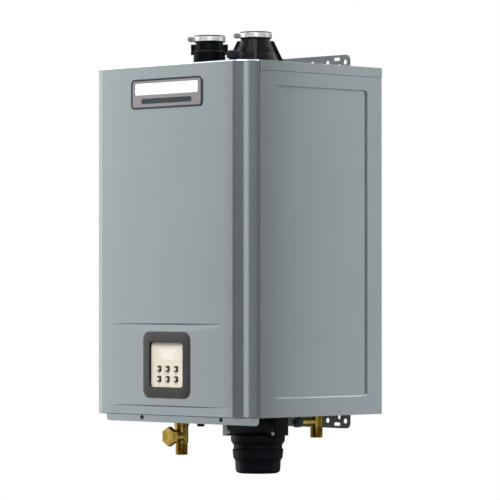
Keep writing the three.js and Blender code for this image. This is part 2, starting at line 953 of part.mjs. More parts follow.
function gasInlet() {
  const centre = [gas.x, -gas.fromBack, 0];
  const outside = join(
    cylinder('z', thread.radius, gas.threadLow, gas.stubTop, centre),
    slab('z', hexagon(gas.hexFlats, gas.x, -gas.fromBack), gas.hexLow, 0),
  );
  const boreLow = gas.threadLow - overshoot;
  return cut(outside, cylinder('z', thread.bore, boreLow, gas.stubTop + overshoot, centre, smallSteps));
}

// Gland for the supply cable, closed by its own rubber
const gland = { x: -55.5, fromBack: 250, radius: 8, nutRadius: 11, nut: 5, low: -27.5, top: 12, bore: 3.5 };

function cableGland() {
  const centre = [gland.x, -gland.fromBack, 0];
  return turned(
    'z',
    [
      [gland.bore, gland.low],
      [gland.radius - sheet, gland.low],
      [gland.radius, gland.low + sheet],
      [gland.radius, -gland.nut],
      [gland.nutRadius, -gland.nut],
      [gland.nutRadius, 0],
      [gland.radius, 0],
      [gland.radius, gland.top],
      [gland.bore, gland.top],
    ],
    centre,
    smallSteps,
  );
}

// Scale filter under the right-hand side

const filterBlock = { fromSide: 15.3, width: 140.6 };
const filterCentreFromSide = 85;
const filter = {
  blockLeft: halfWidth - filterBlock.fromSide - filterBlock.width,
  blockRight: halfWidth - filterBlock.fromSide,
  blockFront: 300,
  blockRear: 260,
  blockRadius: 3,
  bottom: -38,
  centreX: halfWidth - filterCentreFromSide,
  centreFromBack: 280,
  skirtRadius: 55.5,
  skirtLow: -50,
  shoulderRadius: 51.5,
  shoulderLow: -57,
  neckRadius: 49.8,
  neckLow: -66,
  skirtBore: 45.5,
  portRadius: 8,
  portSpread: 42,
  portTop: 14,
};
const bowl = {
  top: -66.6,
  ringRadius: 52.4,
  ringLowRadius: 50.6,
  ringLow: -86,
  bodyRadius: 47,
  bodyTop: -90,
  bodyLowRadius: 46,
  filletTop: -107,
  fillet: 8.5,
  bottom: -116.2,
  wall: 3,
  ribs: 20,
  ribHeight: 1.4,
  spigotRadius: 45,
  spigotTop: -42,
};
const cartridge = { radius: 36, low: bowl.bottom + bowl.wall, high: -44, capRadius: 38, cap: 5 };
const filterScrew = { inset: 6.2, z: -33, radius: 1.8, headRadius: 4, head: 2.6, shank: 9 };

const filterCentre = [filter.centreX, -filter.centreFromBack, 0];

function filterHead() {
  const width = filter.blockRight - filter.blockLeft;
  const depth = filter.blockFront - filter.blockRear;
  const block = slab(
    'z',
    roundedRectangle(
      width,
      depth,
      filter.blockRadius,
      (filter.blockLeft + filter.blockRight) / 2,
      -(filter.blockFront + filter.blockRear) / 2,
    ),
    filter.bottom,
    0,
  );
  const skirt = turned(
    'z',
    [
      [0, filter.neckLow],
      [filter.neckRadius, filter.neckLow],
      [filter.neckRadius, filter.shoulderLow],
      [filter.shoulderRadius, filter.shoulderLow],
      [filter.skirtRadius, filter.skirtLow],
      [filter.skirtRadius, filter.bottom],
      [0, filter.bottom + sheet],
    ],
    filterCentre,
    fineSteps,
  );
  const pocketLow = filter.neckLow - overshoot;
  const pocketTop = filter.bottom - 2 * sheet;
  const pocket = cylinder('z', filter.skirtBore, pocketLow, pocketTop, filterCentre, fineSteps);
  let head = cut(join(block, skirt), pocket);
  for (const side of [-1, 1]) {
    const port = [filter.centreX + side * filter.portSpread, -filter.centreFromBack, 0];
    head = join(head, cylinder('z', filter.portRadius, -sheet, filter.portTop, port, smallSteps));
    const screwHole = [filterScrewX(side), -filter.blockFront, filterScrew.z];
    head = cut(
      head,
      cylinder('y', filterScrew.radius + slip, -overshoot, filterScrew.shank + slip, screwHole, smallSteps),
    );
  }
  return head;
}

function filterScrewX(side) {
  return side > 0 ? filter.blockRight - filterScrew.inset : filter.blockLeft + filterScrew.inset;
}

function filterScrewPiece(side) {
  const at = [filterScrewX(side), -filter.blockFront, filterScrew.z];
  return join(
    turned(
      'y',
      [
        [0, -filterScrew.head],
        [filterScrew.headRadius - sheet, -filterScrew.head],
        [filterScrew.headRadius, -filterScrew.head + sheet],
        [filterScrew.headRadius, 0],
        [0, 0],
      ],
      at,
      smallSteps,
    ),
    cylinder('y', filterScrew.radius, -sheet, filterScrew.shank, at, smallSteps),
  );
}

function filterBowl() {
  const filletSteps = smallCornerSteps;
  const profile = [[0, bowl.bottom]];
  for (const p of arc(
    bowl.bodyLowRadius - bowl.fillet,
    bowl.bottom + bowl.fillet,
    bowl.fillet,
    -quarter,
    0,
    filletSteps,
  )) {
    profile.push([p.x, p.y]);
  }
  profile.push(
    [bowl.bodyRadius, bowl.bodyTop],
    [bowl.ringLowRadius - bowl.ribHeight, bowl.ringLow],
    [bowl.ringRadius - bowl.ribHeight, bowl.top],
    [bowl.spigotRadius, bowl.top],
    [bowl.spigotRadius, bowl.spigotTop],
    [bowl.spigotRadius - bowl.wall, bowl.spigotTop],
    [bowl.spigotRadius - bowl.wall, bowl.filletTop],
    [bowl.spigotRadius - 2 * bowl.wall, bowl.bottom + bowl.wall],
    [0, bowl.bottom + bowl.wall],
  );
  const cup = turned('z', profile, filterCentre, fineSteps);
  const ribAt = (radius) =>
    ribbedCircle(radius, bowl.ribHeight, bowl.ribs, filterCentre[0], filterCentre[1]);
  const grip = lofted('z', [
    { outline: ribAt(bowl.ringLowRadius), at: bowl.ringLow },
    { outline: ribAt(bowl.ringRadius), at: bowl.top },
  ]);
  const gripCore = cylinder(
    'z',
    bowl.spigotRadius - bowl.wall / 2,
    bowl.ringLow - overshoot,
    bowl.top + overshoot,
    filterCentre,
    fineSteps,
  );
  return join(cup, cut(grip, gripCore));
}

function filterCartridge() {
  return turned(
    'z',
    [
      [0, cartridge.low],
      [cartridge.capRadius, cartridge.low],
      [cartridge.capRadius, cartridge.low + cartridge.cap],
      [cartridge.radius, cartridge.low + cartridge.cap],
      [cartridge.radius, cartridge.high - cartridge.cap],
      [cartridge.capRadius, cartridge.high - cartridge.cap],
      [cartridge.capRadius, cartridge.high],
      [0, cartridge.high],
    ],
    filterCentre,
  );
}

// Steel hanger at the head's left end: a foot under the case, a side cheek and a front ear
const hanger = { earWidth: 12.5, thickness: 1.5, low: -41.7, foot: 14 };

function filterBracket() {
  const cheekX = filter.blockLeft - hanger.thickness;
  const earX = cheekX - hanger.earWidth + hanger.thickness;
  const front = -filter.blockFront;
  const rear = -filter.blockRear;
  return join(
    box(cheekX, front, hanger.low, filter.blockLeft, rear, 0),
    box(earX, front, hanger.low, filter.blockLeft, front + hanger.thickness, 0),
    box(cheekX - hanger.foot, front, -hanger.thickness, filter.blockLeft, rear, 0),
  );
}

function bottomPanel() {
  const inner = halfWidth - sheet;
  const frontHalf = halfWidth - panFrontInset;
  const pan = cut(
    box(-inner, seamY, 0, inner, -sheet, panFlange),
    box(-inner + sheet, seamY - overshoot, sheet, inner - sheet, -2 * sheet, panFlange + overshoot),
  );
  const whole = join(pan, box(-frontHalf, seamY, -panFrontDrop, frontHalf, seamY + sheet, sheet / 2));
  const through = (radius, x, y) =>
    cylinder('z', radius + slip, -overshoot, overshoot, [x, y, 0], roundSteps);
  const screwHoles = [-1, 1].map((side) =>
    cylinder(
      'y',
      lipScrew.radius + slip,
      -overshoot,
      overshoot,
      [side * lipScrew.fromCentre, seamY, -lipScrew.below],
      smallSteps,
    ),
  );
  return cut(
    whole,
    through(thread.radius, tee.x, -tee.fromBack),
    through(thread.radius, elbow.x, -elbow.fromBack),
    through(thread.radius, gas.x, -gas.fromBack),
    through(gland.radius, gland.x, -gland.fromBack),
    through(filter.portRadius, filter.centreX - filter.portSpread, -filter.centreFromBack),
    through(filter.portRadius, filter.centreX + filter.portSpread, -filter.centreFromBack),
    ...screwHoles,
  );
}

// Inside the case: burner stack, blower, gas train, water pipes and electronics

const backY = -sheet;

// Shares of the case's height at which the stacked pieces start, and the stack's share of its width
const fanHeightShare = 0.237;
const burnerHeightShare = 0.345;
const primaryHeightShare = 0.525;
const secondaryHeightShare = 0.69;
const ductHeightShare = 0.884;
const electronicsLowShare = 0.414;
const electronicsHighShare = 0.718;
const fanRadiusShare = 0.091;
const stackWidthShare = 0.5;

const stack = { x: 10, width: caseWidth * stackWidthShare, front: 300, rear: 110, footWidth: 24 };
const burner = {
  low: caseHeight * burnerHeightShare,
  high: caseHeight * primaryHeightShare,
  bars: 9,
  barWidth: 12,
  barHeight: 30,
  wall: 2,
};
const primary = {
  low: caseHeight * primaryHeightShare,
  high: caseHeight * secondaryHeightShare,
  wall: 2,
  fins: 14,
  finThickness: 1.5,
  finGap: 8,
  coilRadius: 9,
};
const secondary = {
  low: caseHeight * secondaryHeightShare,
  high: caseHeight * ductHeightShare,
  ribs: 6,
  ribDepth: 4,
  ribWidth: 10,
};
const duct = { low: secondary.high, wall: 2, height: 66 };

// Feet that carry a stacked box on the back panel
function stackFeet(z) {
  return [-1, 1].map((side) => {
    const x = stack.x + side * (stack.width / 2 - stack.footWidth);
    const half = stack.footWidth / 2;
    return box(x - half, -stack.rear, z - half, x + half, backY, z + half);
  });
}

function stackBox(z0, z1, inset = 0) {
  return box(
    stack.x - stack.width / 2 + inset,
    -stack.front + inset,
    z0,
    stack.x + stack.width / 2 - inset,
    -stack.rear - inset,
    z1,
  );
}

function burnerBox() {
  const shell = cut(
    stackBox(burner.low, burner.high),
    stackBox(burner.low + burner.wall, burner.high + overshoot, burner.wall),
  );
  const pitch = (stack.width - 2 * burner.wall) / burner.bars;
  const bars = [];
  for (let i = 0; i < burner.bars; i++) {
    const x = stack.x - stack.width / 2 + burner.wall + pitch * (i + 0.5);
    bars.push(
      box(
        x - burner.barWidth / 2,
        -stack.front + burner.wall / 2,
        burner.low + burner.wall / 2,
        x + burner.barWidth / 2,
        -stack.rear - burner.wall / 2,
        burner.low + burner.barHeight,
      ),
    );
  }
  return join(shell, ...bars, ...stackFeet((burner.low + burner.high) / 2));
}

// Copper jacket crossed by fins, with two coil runs round it
function mainExchanger() {
  const jacket = cut(
    stackBox(primary.low, primary.high),
    stackBox(primary.low - overshoot, primary.high + overshoot, primary.wall),
  );
  const fins = [];
  const finLow = primary.high - (primary.high - primary.low) / 2;
  const pitch = (stack.width - 2 * primary.wall) / primary.fins;
  for (let i = 1; i < primary.fins; i++) {
    const x = stack.x - stack.width / 2 + primary.wall + pitch * i;
    fins.push(
      box(
        x - primary.finThickness / 2,
        -stack.front + primary.wall / 2,
        finLow,
        x + primary.finThickness / 2,
        -stack.rear - primary.wall / 2,
        primary.high - primary.finGap,
      ),
    );
  }
  const coilZ = primary.low + primary.finGap + primary.coilRadius;
  const coil = cylinder(
    'x',
    primary.coilRadius,
    stack.x - stack.width / 2,
    stack.x + stack.width / 2,
    [0, -stack.front, coilZ],
    smallSteps,
  );
  const keep = cut(coil, stackBox(primary.low, primary.high, primary.wall / 2));
  return join(jacket, ...fins, keep);
}

// Stainless box with pressed ribs on its front and its feet on the back panel
function condensingExchanger() {
  const body = stackBox(secondary.low, secondary.high);
  const ribs = [];
  const pitch = stack.width / secondary.ribs;
  for (let i = 0; i < secondary.ribs; i++) {
    const x = stack.x - stack.width / 2 + pitch * (i + 0.5);
    ribs.push(
      box(
        x - secondary.ribWidth / 2,
        -stack.front - secondary.ribDepth,
        secondary.low + secondary.ribWidth,
        x + secondary.ribWidth / 2,
        -stack.front + sheet,
        secondary.high - secondary.ribWidth,
      ),
    );
  }
  return join(body, ...ribs, ...stackFeet((secondary.low + secondary.high) / 2));
}

// Hood over the condensing exchanger, ending under the exhaust collar's spigot
function exhaustDuct() {
  const centre = [vent.fromCentre, -vent.fromBack, 0];
  const neck = exhaust.boreRadius + vent.wall;
  const top = caseHeight - vent.spigot;
  const hoodTop = duct.low + duct.height / 2;
  const hood = cylinder('z', neck, duct.low, top, centre);
  const base = stackBox(duct.low, hoodTop, duct.wall);
  const baseHollow = stackBox(duct.low - overshoot, hoodTop - duct.wall, 2 * duct.wall);
  const bore = cylinder('z', exhaust.boreRadius, duct.low - overshoot, top + overshoot, centre);
  return cut(join(base, hood), baseHollow, bore);
}

const fan = {
  x: 10,
  z: caseHeight * fanHeightShare,
  housingRadius: caseHeight * fanRadiusShare,
  front: 262,
  rear: 200,
  wall: 2,
  wheelGap: 16,
  wheelDepth: 40,
  hubRadius: 12,
  blades: 10,
  bladeDepth: 9,
  bladeThickness: 1.6,
  motorRadius: 34,
  motorLength: 40,
  shaftRadius: 4,
  outletWidth: 60,
  inletRadius: 34,
};

const wheelRadius = fan.housingRadius - fan.wheelGap;

// Snail housing whose outlet rises into the burner box
function fanHousing() {
  const outletRight = fan.x + fan.housingRadius;
  const outer = join(
    cylinder('y', fan.housingRadius, -fan.front, -fan.rear, [fan.x, 0, fan.z]),
    box(outletRight - fan.outletWidth, -fan.front, fan.z, outletRight, -fan.rear, burner.low),
  );
  const innerRadius = fan.housingRadius - fan.wall;
  const inner = join(
    cylinder('y', innerRadius, -fan.front + fan.wall, -fan.rear - fan.wall, [fan.x, 0, fan.z]),
    box(
      fan.x + innerRadius - fan.outletWidth + 2 * fan.wall,
      -fan.front + fan.wall,
      fan.z,
      fan.x + innerRadius,
      -fan.rear - fan.wall,
      burner.low + overshoot,
    ),
  );
  const at = [fan.x, 0, fan.z];
  const inlet = cylinder('y', fan.inletRadius, -fan.front - overshoot, -fan.front + 2 * fan.wall, at);
  const shaftHole = cylinder(
    'y',
    fan.shaftRadius + slip,
    -fan.rear - 2 * fan.wall,
    -fan.rear + overshoot,
    [fan.x, 0, fan.z],
    smallSteps,
  );
  return cut(outer, inner, inlet, shaftHole);
}

// Wheel with straight blades between a back disc and a front ring
function fanWheel() {
  const rear = -fan.rear - fan.wall - 2 * fan.wall;
  const front = rear - fan.wheelDepth;
  const at = [fan.x, 0, fan.z];
  const disc = cylinder('y', wheelRadius, rear - fan.wall, rear, at);
  const hub = cut(
    cylinder('y', fan.hubRadius, front + fan.wheelDepth / 2, rear, at, smallSteps),
    cylinder('y', fan.shaftRadius, front, rear + overshoot, at, smallSteps),
  );
  const shaftBore = cylinder('y', fan.shaftRadius, rear - overshoot, rear + overshoot, at, smallSteps);
  const rim = ring('y', wheelRadius - fan.bladeDepth, wheelRadius, front, front + fan.wall, at);
  const blades = [];
  for (let i = 0; i < fan.blades; i++) {
    const blade = box(
      wheelRadius - fan.bladeDepth,
      front + fan.wall / 2,
      -fan.bladeThickness / 2,
      wheelRadius - sheet,
      rear - fan.wall / 2,
      fan.bladeThickness / 2,
    );
    blades.push(blade.rotateY((fullTurn * i) / fan.blades).translate(...at));
  }
  return cut(join(disc, hub, rim, ...blades), shaftBore);
}

function fanMotor() {
  const at = [fan.x, 0, fan.z];
  const start = -fan.rear;
  const body = cylinder('y', fan.motorRadius, start, start + fan.motorLength, at);
  const shaft = cylinder('y', fan.shaftRadius - slip, start - fan.wheelDepth, start + sheet, at, smallSteps);
  const rest = box(
    fan.x - fan.hubRadius,
    start + fan.motorLength - sheet,
    fan.z - fan.hubRadius,
    fan.x + fan.hubRadius,
    backY,
    fan.z + fan.hubRadius,
  );
  return join(body, shaft, rest);
}

const valve = { width: 70, depth: 60, low: 42, high: 112, coilRadius: 16, coil: 34 };

function gasValve() {
  const y = -gas.fromBack;
  const body = box(
    gas.x - valve.width / 2,
    y - valve.depth / 2,
    valve.low,
    gas.x + valve.width / 2,
    y + valve.depth / 2,
    valve.high,
  );
  const coils = [-1, 1].map((side) =>
    cylinder(
      'y',
      valve.coilRadius,
      -valve.depth / 2 - valve.coil,
      -valve.depth / 2 + sheet,
      [gas.x + side * (valve.coilRadius + sheet), y, (valve.low + valve.high) / 2],
      smallSteps,
    ),
  );
  const neck = cut(
    cylinder('z', thread.radius, gas.stubTop, valve.low + sheet, [gas.x, y, 0], smallSteps),
    cylinder('z', thread.bore, gas.stubTop - overshoot, valve.low, [gas.x, y, 0], smallSteps),
  );
  const arm = box(
    gas.x - stack.footWidth / 2,
    y + valve.depth / 2 - sheet,
    valve.high - stack.footWidth,
    gas.x + stack.footWidth / 2,
    backY,
    valve.high,
  );
  return join(body, ...coils, neck, arm);
}

const manifoldRise = 12;
const manifold = { height: 18, depth: 22, z: burner.low + manifoldRise };

// Gas bar across the front of the burner box
function gasManifold() {
  const rear = -stack.front;
  return box(
    stack.x - stack.width / 2,
    rear - manifold.depth,
    manifold.z,
    stack.x + stack.width / 2,
    rear,
    manifold.z + manifold.height,
  );
}

const pipeRadius = { gas: 9, water: 9.5 };

function gasPipe() {
  const x = stack.x - stack.width / 2 + manifold.height;
  const end = -stack.front - manifold.depth / 2;
  const startX = gas.x - valve.width / 2 - slip;
  const startZ = (valve.low + valve.high) / 2;
  return bentBar(
    pipeRadius.gas,
    [
      [startX, -gas.fromBack, startZ],
      [startX - 2 * pipeRadius.gas, -gas.fromBack, startZ],
      [x, -gas.fromBack - valve.depth, startZ + valve.width / 2],
      [x, end, manifold.z - valve.depth],
      [x, end, manifold.z - slip],
    ],
    smallSteps,
  );
}

// Sealed electronics box on the left wall
const electronics = {
  width: 46,
  depth: 150,
  low: caseHeight * electronicsLowShare,
  high: caseHeight * electronicsHighShare,
  frontInset: 24,
  radius: 6,
  lid: 4,
  lidInset: 6,
};

function controlBoardBox() {
  const left = -halfWidth + sheet + emboss.depth;
  const y0 = seamY + electronics.frontInset;
  const centreY = y0 + electronics.depth / 2;
  const centreZ = (electronics.low + electronics.high) / 2;
  const height = electronics.high - electronics.low;
  const base = roundedRectangle(electronics.depth, height, electronics.radius, centreY, centreZ);
  const lid = roundedRectangle(
    electronics.depth - 2 * electronics.lidInset,
    height - 2 * electronics.lidInset,
    electronics.radius,
    centreY,
    centreZ,
  );
  const right = left + electronics.width;
  return join(slab('x', base, left, right), slab('x', lid, right - sheet, right + electronics.lid));
}

const spark = { width: 44, depth: 26, height: 30, fromLeft: 30, aboveBurner: 60, leadRadius: 3, lead: 12 };

function igniter() {
  const x0 = stack.x - stack.width / 2 + spark.fromLeft;
  const z0 = burner.low + spark.aboveBurner;
  const rear = -stack.front;
  const body = box(x0, rear - spark.depth, z0, x0 + spark.width, rear, z0 + spark.height);
  const lead = cylinder(
    'z',
    spark.leadRadius,
    z0 + spark.height - sheet,
    z0 + spark.height + spark.lead,
    [x0 + spark.width / 2, rear - spark.depth / 2, 0],
    smallSteps / 2,
  );
  return join(body, lead);
}

const trapHeight = 80;
const trap = {
  radius: 24,
  low: secondary.high - trapHeight,
  high: secondary.high,
  neckRadius: 8,
  tail: 40,
};

// Condensate trap hung on the right of the condensing exchanger
function condensateTrap() {
  const x = stack.x + stack.width / 2 + trap.radius;
  const y = -(stack.front + stack.rear) / 2;
  return join(
    turned(
      'z',
      [
        [0, trap.low - trap.tail],
        [trap.neckRadius, trap.low - trap.tail],
        [trap.neckRadius, trap.low],
        [trap.radius, trap.low],
        [trap.radius, trap.high],
        [0, trap.high],
      ],
      [x, y, 0],
      smallSteps,
    ),
    box(x - trap.radius, y - trap.neckRadius, trap.low, x, y + trap.neckRadius, trap.low + trap.radius),
  );
}

// Flow sensor on the cold stub, with a rotor that spins on the stub's axis
const sensor = {
  radius: 20,
  low: 30,
  high: 92,
  bore: 15,
  wall: 3,
  plugWidth: 16,
  plugHeight: 22,
  plugReach: 10,
};
const turbine = { radius: 14, hubRadius: 5, height: 24, blades: 5, bladeThickness: 1.6, z: 50 };

function flowSensor() {
  const centre = [elbow.x, -elbow.fromBack, 0];
  const body = turned(
    'z',
    [
      [thread.bore, sensor.low],
      [sensor.radius, sensor.low],
      [sensor.radius, sensor.high],
      [pipeRadius.water + slip, sensor.high],
      [pipeRadius.water + slip, sensor.high - sensor.wall],
      [sensor.bore, sensor.high - 2 * sensor.wall],
      [sensor.bore, sensor.low + sensor.wall],
      [thread.bore, sensor.low + sensor.wall],
    ],
    centre,
  );
  const z = (sensor.low + sensor.high) / 2;
  const connector = box(
    elbow.x - sensor.plugWidth / 2,
    -elbow.fromBack - sensor.radius - sensor.plugReach,
    z - sensor.plugHeight / 2,
    elbow.x + sensor.plugWidth / 2,
    -elbow.fromBack - sensor.bore - sensor.wall / 2,
    z + sensor.plugHeight / 2,
  );
  return join(body, connector);
}

function flowTurbine() {
  const centre = [elbow.x, -elbow.fromBack, turbine.z];
  const hub = cylinder('z', turbine.hubRadius, 0, turbine.height, centre, smallSteps);
  const blades = [];
  for (let i = 0; i < turbine.blades; i++) {
    const blade = box(
      turbine.hubRadius - sheet,
      -turbine.bladeThickness / 2,
      sheet,
      turbine.radius,
      turbine.bladeThickness / 2,
      turbine.height - sheet,
    );
    blades.push(blade.rotateZ((fullTurn * i) / turbine.blades).translate(...centre));
  }
  return join(hub, ...blades);
}

const pipeRun = { bend: 30, rise: 60, coldY: 200, hotY: 205 };

function coldPipe() {
  const x = elbow.x;
  const endX = stack.x + stack.width / 2;
  const endZ = secondary.low + pipeRun.bend;
  return bentBar(
    pipeRadius.water,
    [
      [x, -elbow.fromBack, sensor.high - sensor.wall / 2],
      [x, -elbow.fromBack, sensor.high + pipeRun.rise],
      [x + pipeRadius.water, -pipeRun.coldY, primary.low],
      [x + pipeRadius.water / 2, -pipeRun.coldY - pipeRun.bend, endZ - pipeRun.bend / 2],
      [endX + pipeRadius.water, -pipeRun.coldY - pipeRun.bend, endZ],
      [endX + slip, -pipeRun.coldY - pipeRun.bend, endZ],
    ],
    smallSteps,
  );
}

function hotPipe() {
  const endX = stack.x - stack.width / 2;
  const endZ = primary.low + pipeRun.bend;
  return bentBar(
    pipeRadius.water,
    [
      [tee.x, -tee.fromBack, tee.stubTop + slip],
      [tee.x, -tee.fromBack, tee.stubTop + pipeRun.rise],
      [tee.x - pipeRadius.water, -pipeRun.hotY, burner.low],
      [tee.x - pipeRadius.water / 2, -pipeRun.hotY, endZ - pipeRun.bend / 2],
      [endX - pipeRadius.water, -pipeRun.hotY, endZ],
      [endX - slip, -pipeRun.hotY, endZ],
    ],
    smallSteps,
  );
}

// Colours, shine and assembly

const finish = {
  paint: [0x9aa6ab, 0.3, 0.45],
  galvanised: [0x7c8081, 0.8, 0.5],
  steel: [0xc4c8cb, 1, 0.3],
  brass: [0xb08a45, 1, 0.35],
  black: [0x17181c, 0, 0.45],
  rubber: [0x1b1b1e, 0, 0.7],
  charcoal: [0x3c3d3e, 0, 0.5],
  cream: [0xe9e2d2, 0, 0.5],
  keys: [0x3a2c1c, 0, 0.4],
  plate: [0xa5a0a2, 0.4, 0.4],
  copper: [0xb87345, 1, 0.35],
  aluminium: [0xb9bcbe, 1, 0.45],
  board: [0x2f6b44, 0, 0.6],
  white: [0xe8e8e4, 0, 0.6],
};

const heater = new THREE.Group();
heater.name = 'tankless_water_heater';

const shift = [0, -bracket.thickness, -(caseHeight + bracket.stand - bracket.height / 2)];

function add(name, piece, [colour, metalness, roughness]) {
  const mesh = solid(piece).getMesh();
  const indexed = new THREE.BufferGeometry();
  indexed.setAttribute('position', new THREE.BufferAttribute(new Float32Array(mesh.vertProperties), 3));
  indexed.setIndex(new THREE.BufferAttribute(new Uint32Array(mesh.triVerts), 1));
  const geometry = indexed.toNonIndexed().translate(...shift);
  geometry.computeVertexNormals();
  const material = new THREE.MeshStandardMaterial({ color: colour, metalness, roughness });
  const node = new THREE.Mesh(geometry, material);
  node.name = name;
  heater.add(node);
}

add('case_shell', caseShell(), finish.paint);
add('top_panel', topPanel(), finish.paint);
add('bottom_panel', bottomPanel(), finish.paint);
add('front_cover', frontCover(), finish.paint);
add('cover_screw_left', coverScrew(-1), finish.steel);
add('cover_screw_right', coverScrew(1), finish.steel);
add('nameplate', nameplate(), finish.plate);
add('wall_bracket_upper', wallBracket(caseHeight, 1), finish.galvanised);
add('wall_bracket_lower', wallBracket(0, -1), finish.galvanised);

add('control_bezel', controlBezel(), finish.charcoal);
add('control_faceplate', controlFaceplate(), finish.cream);
add('display_lens', displayLens(), finish.cream);
add('display_board', displayBoard(), finish.board);
keyPlaces().forEach((place, i) => {
  add(`button_${i + 1}`, pushKey(place), finish.keys);
});

add('exhaust_collar', exhaustCollar(), finish.black);
add('intake_collar', intakeCollar(), finish.black);
add('exhaust_seal', ventSeal(1), finish.rubber);
add('intake_seal', ventSeal(-1), finish.rubber);
add('exhaust_clamp', ventClamp(1), finish.steel);
add('intake_clamp', ventClamp(-1), finish.steel);
add('test_port_cap', testPortCap(), finish.black);

add('outlet_tee', outletTee(), finish.brass);
add('tee_plug', teePlug(), finish.brass);
add('inlet_elbow', inletElbow(), finish.brass);
add('drain_knob', drainKnob(), finish.black);
add('strainer', strainer(), finish.steel);
add('gas_inlet', gasInlet(), finish.brass);
add('cable_gland', cableGland(), finish.black);

add('filter_bracket', filterBracket(), finish.galvanised);
add('filter_head', filterHead(), finish.black);
add('filter_bowl', filterBowl(), finish.black);
add('filter_cartridge', filterCartridge(), finish.white);
add('filter_screw_left', filterScrewPiece(-1), finish.steel);
add('filter_screw_right', filterScrewPiece(1), finish.steel);

add('burner_box', burnerBox(), finish.aluminium);
add('main_exchanger', mainExchanger(), finish.copper);
add('condensing_exchanger', condensingExchanger(), finish.steel);
add('exhaust_duct', exhaustDuct(), finish.aluminium);
add('fan_housing', fanHousing(), finish.aluminium);
add('fan_wheel', fanWheel(), finish.black);
add('fan_motor', fanMotor(), finish.galvanised);
add('gas_valve', gasValve(), finish.aluminium);
add('gas_manifold', gasManifold(), finish.aluminium);
add('gas_pipe', gasPipe(), finish.galvanised);
add('control_board_box', controlBoardBox(), finish.charcoal);
add('igniter', igniter(), finish.charcoal);
add('condensate_trap', condensateTrap(), finish.white);
add('flow_sensor', flowSensor(), finish.charcoal);
add('flow_turbine', flowTurbine(), finish.white);
add('cold_pipe', coldPipe(), finish.copper);
add('hot_pipe', hotPipe(), finish.copper);

export default heater;
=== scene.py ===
import json
import math

import bmesh
import bpy
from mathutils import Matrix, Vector


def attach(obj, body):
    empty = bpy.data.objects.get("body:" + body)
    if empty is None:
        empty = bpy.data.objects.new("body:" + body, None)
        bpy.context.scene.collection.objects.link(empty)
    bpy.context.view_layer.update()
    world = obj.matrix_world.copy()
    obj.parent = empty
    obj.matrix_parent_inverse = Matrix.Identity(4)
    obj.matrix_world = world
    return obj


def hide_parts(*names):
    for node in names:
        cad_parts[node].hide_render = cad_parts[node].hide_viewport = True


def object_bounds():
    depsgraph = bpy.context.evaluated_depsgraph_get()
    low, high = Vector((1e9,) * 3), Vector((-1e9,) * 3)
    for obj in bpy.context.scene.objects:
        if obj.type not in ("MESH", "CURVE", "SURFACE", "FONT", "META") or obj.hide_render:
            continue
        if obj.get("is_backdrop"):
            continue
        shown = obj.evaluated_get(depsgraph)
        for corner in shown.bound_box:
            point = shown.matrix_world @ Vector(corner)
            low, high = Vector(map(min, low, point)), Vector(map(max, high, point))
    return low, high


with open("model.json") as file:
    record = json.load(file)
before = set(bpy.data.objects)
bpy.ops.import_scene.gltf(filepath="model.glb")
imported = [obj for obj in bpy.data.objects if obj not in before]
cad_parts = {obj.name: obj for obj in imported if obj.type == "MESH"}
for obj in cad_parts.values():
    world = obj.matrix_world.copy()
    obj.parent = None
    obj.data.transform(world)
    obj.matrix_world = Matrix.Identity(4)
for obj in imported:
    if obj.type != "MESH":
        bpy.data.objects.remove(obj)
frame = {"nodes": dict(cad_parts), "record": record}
cad_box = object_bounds()

MM = 0.001
QUARTER = math.pi / 2
FULL = 2 * math.pi

# Sizes shared with the part, in millimetres from the case's bottom back edge
CASE_WIDTH = 462.0
CASE_HEIGHT = 724.0
SEAM_Y = -358.0
COVER_REAR_Y = -358.4
FRONT_Y = -400.0
HALF = CASE_WIDTH / 2
ROW_SHIFT = (0.0, -2.0, -727.5)


def row_point(x, y, z):
    """A place given in the part's millimetres, in the row frame's metres."""
    return Vector(((x + ROW_SHIFT[0]) * MM, (y + ROW_SHIFT[1]) * MM, (z + ROW_SHIFT[2]) * MM))


def case_point(place):
    """The part's millimetres of a place in the row frame."""
    return tuple(place[k] / MM - ROW_SHIFT[k] for k in range(3))


# Colours and shader nodes

def linear(hex_code):
    """An sRGB hex value as the linear colour that a shader wants."""
    channels = [int(hex_code[i : i + 2], 16) / 255 for i in (1, 3, 5)]
    plain = [c / 12.92 if c <= 0.04045 else ((c + 0.055) / 1.055) ** 2.4 for c in channels]
    return (*plain, 1.0)


def shade(colour, share):
    """A linear colour darkened to this share of its light."""
    return (*[c * share for c in colour[:3]], 1.0)


def grain(size_mm):
    """The scale of a pattern whose features are this many millimetres across."""
    return 1000.0 / size_mm


def add(tree, kind, inputs=None, output=0, stops=None, **settings):
    """Adds a node with its settings and links, and gives back one output, the first unless it is named.

    inputs maps a socket's name or number to a value or to another node's output, and stops maps a
    colour ramp's places to linear colours.
    """
    made = tree.nodes.new("ShaderNode" + kind)
    for name, value in settings.items():
        setattr(made, name, value)
    for key, value in (inputs or {}).items():
        if isinstance(value, bpy.types.NodeSocket):
            tree.links.new(value, made.inputs[key])
        else:
            made.inputs[key].default_value = value
    if stops:
        elements = made.color_ramp.elements
        elements.remove(elements[-1])
        (elements[0].position, elements[0].color), *others = stops.items()
        for position, colour in others:
            elements.new(position).color = colour
    return made.outputs[output] if made.outputs else None


def new_material(name):
    """An empty node material, its tree and the piece's own coordinates in metres."""
    material = bpy.data.materials.new(name)
    material.use_nodes = True
    tree = material.node_tree
    tree.nodes.clear()
    return material, tree, add(tree, "TexCoord", output="Object")


def finished(material, tree, inputs, through=None):
    """Ends a material in its shader; through can put another node between shader and output."""
    surface = add(tree, "BsdfPrincipled", inputs)
    add(tree, "OutputMaterial", {"Surface": through(surface) if through else surface})
    return material


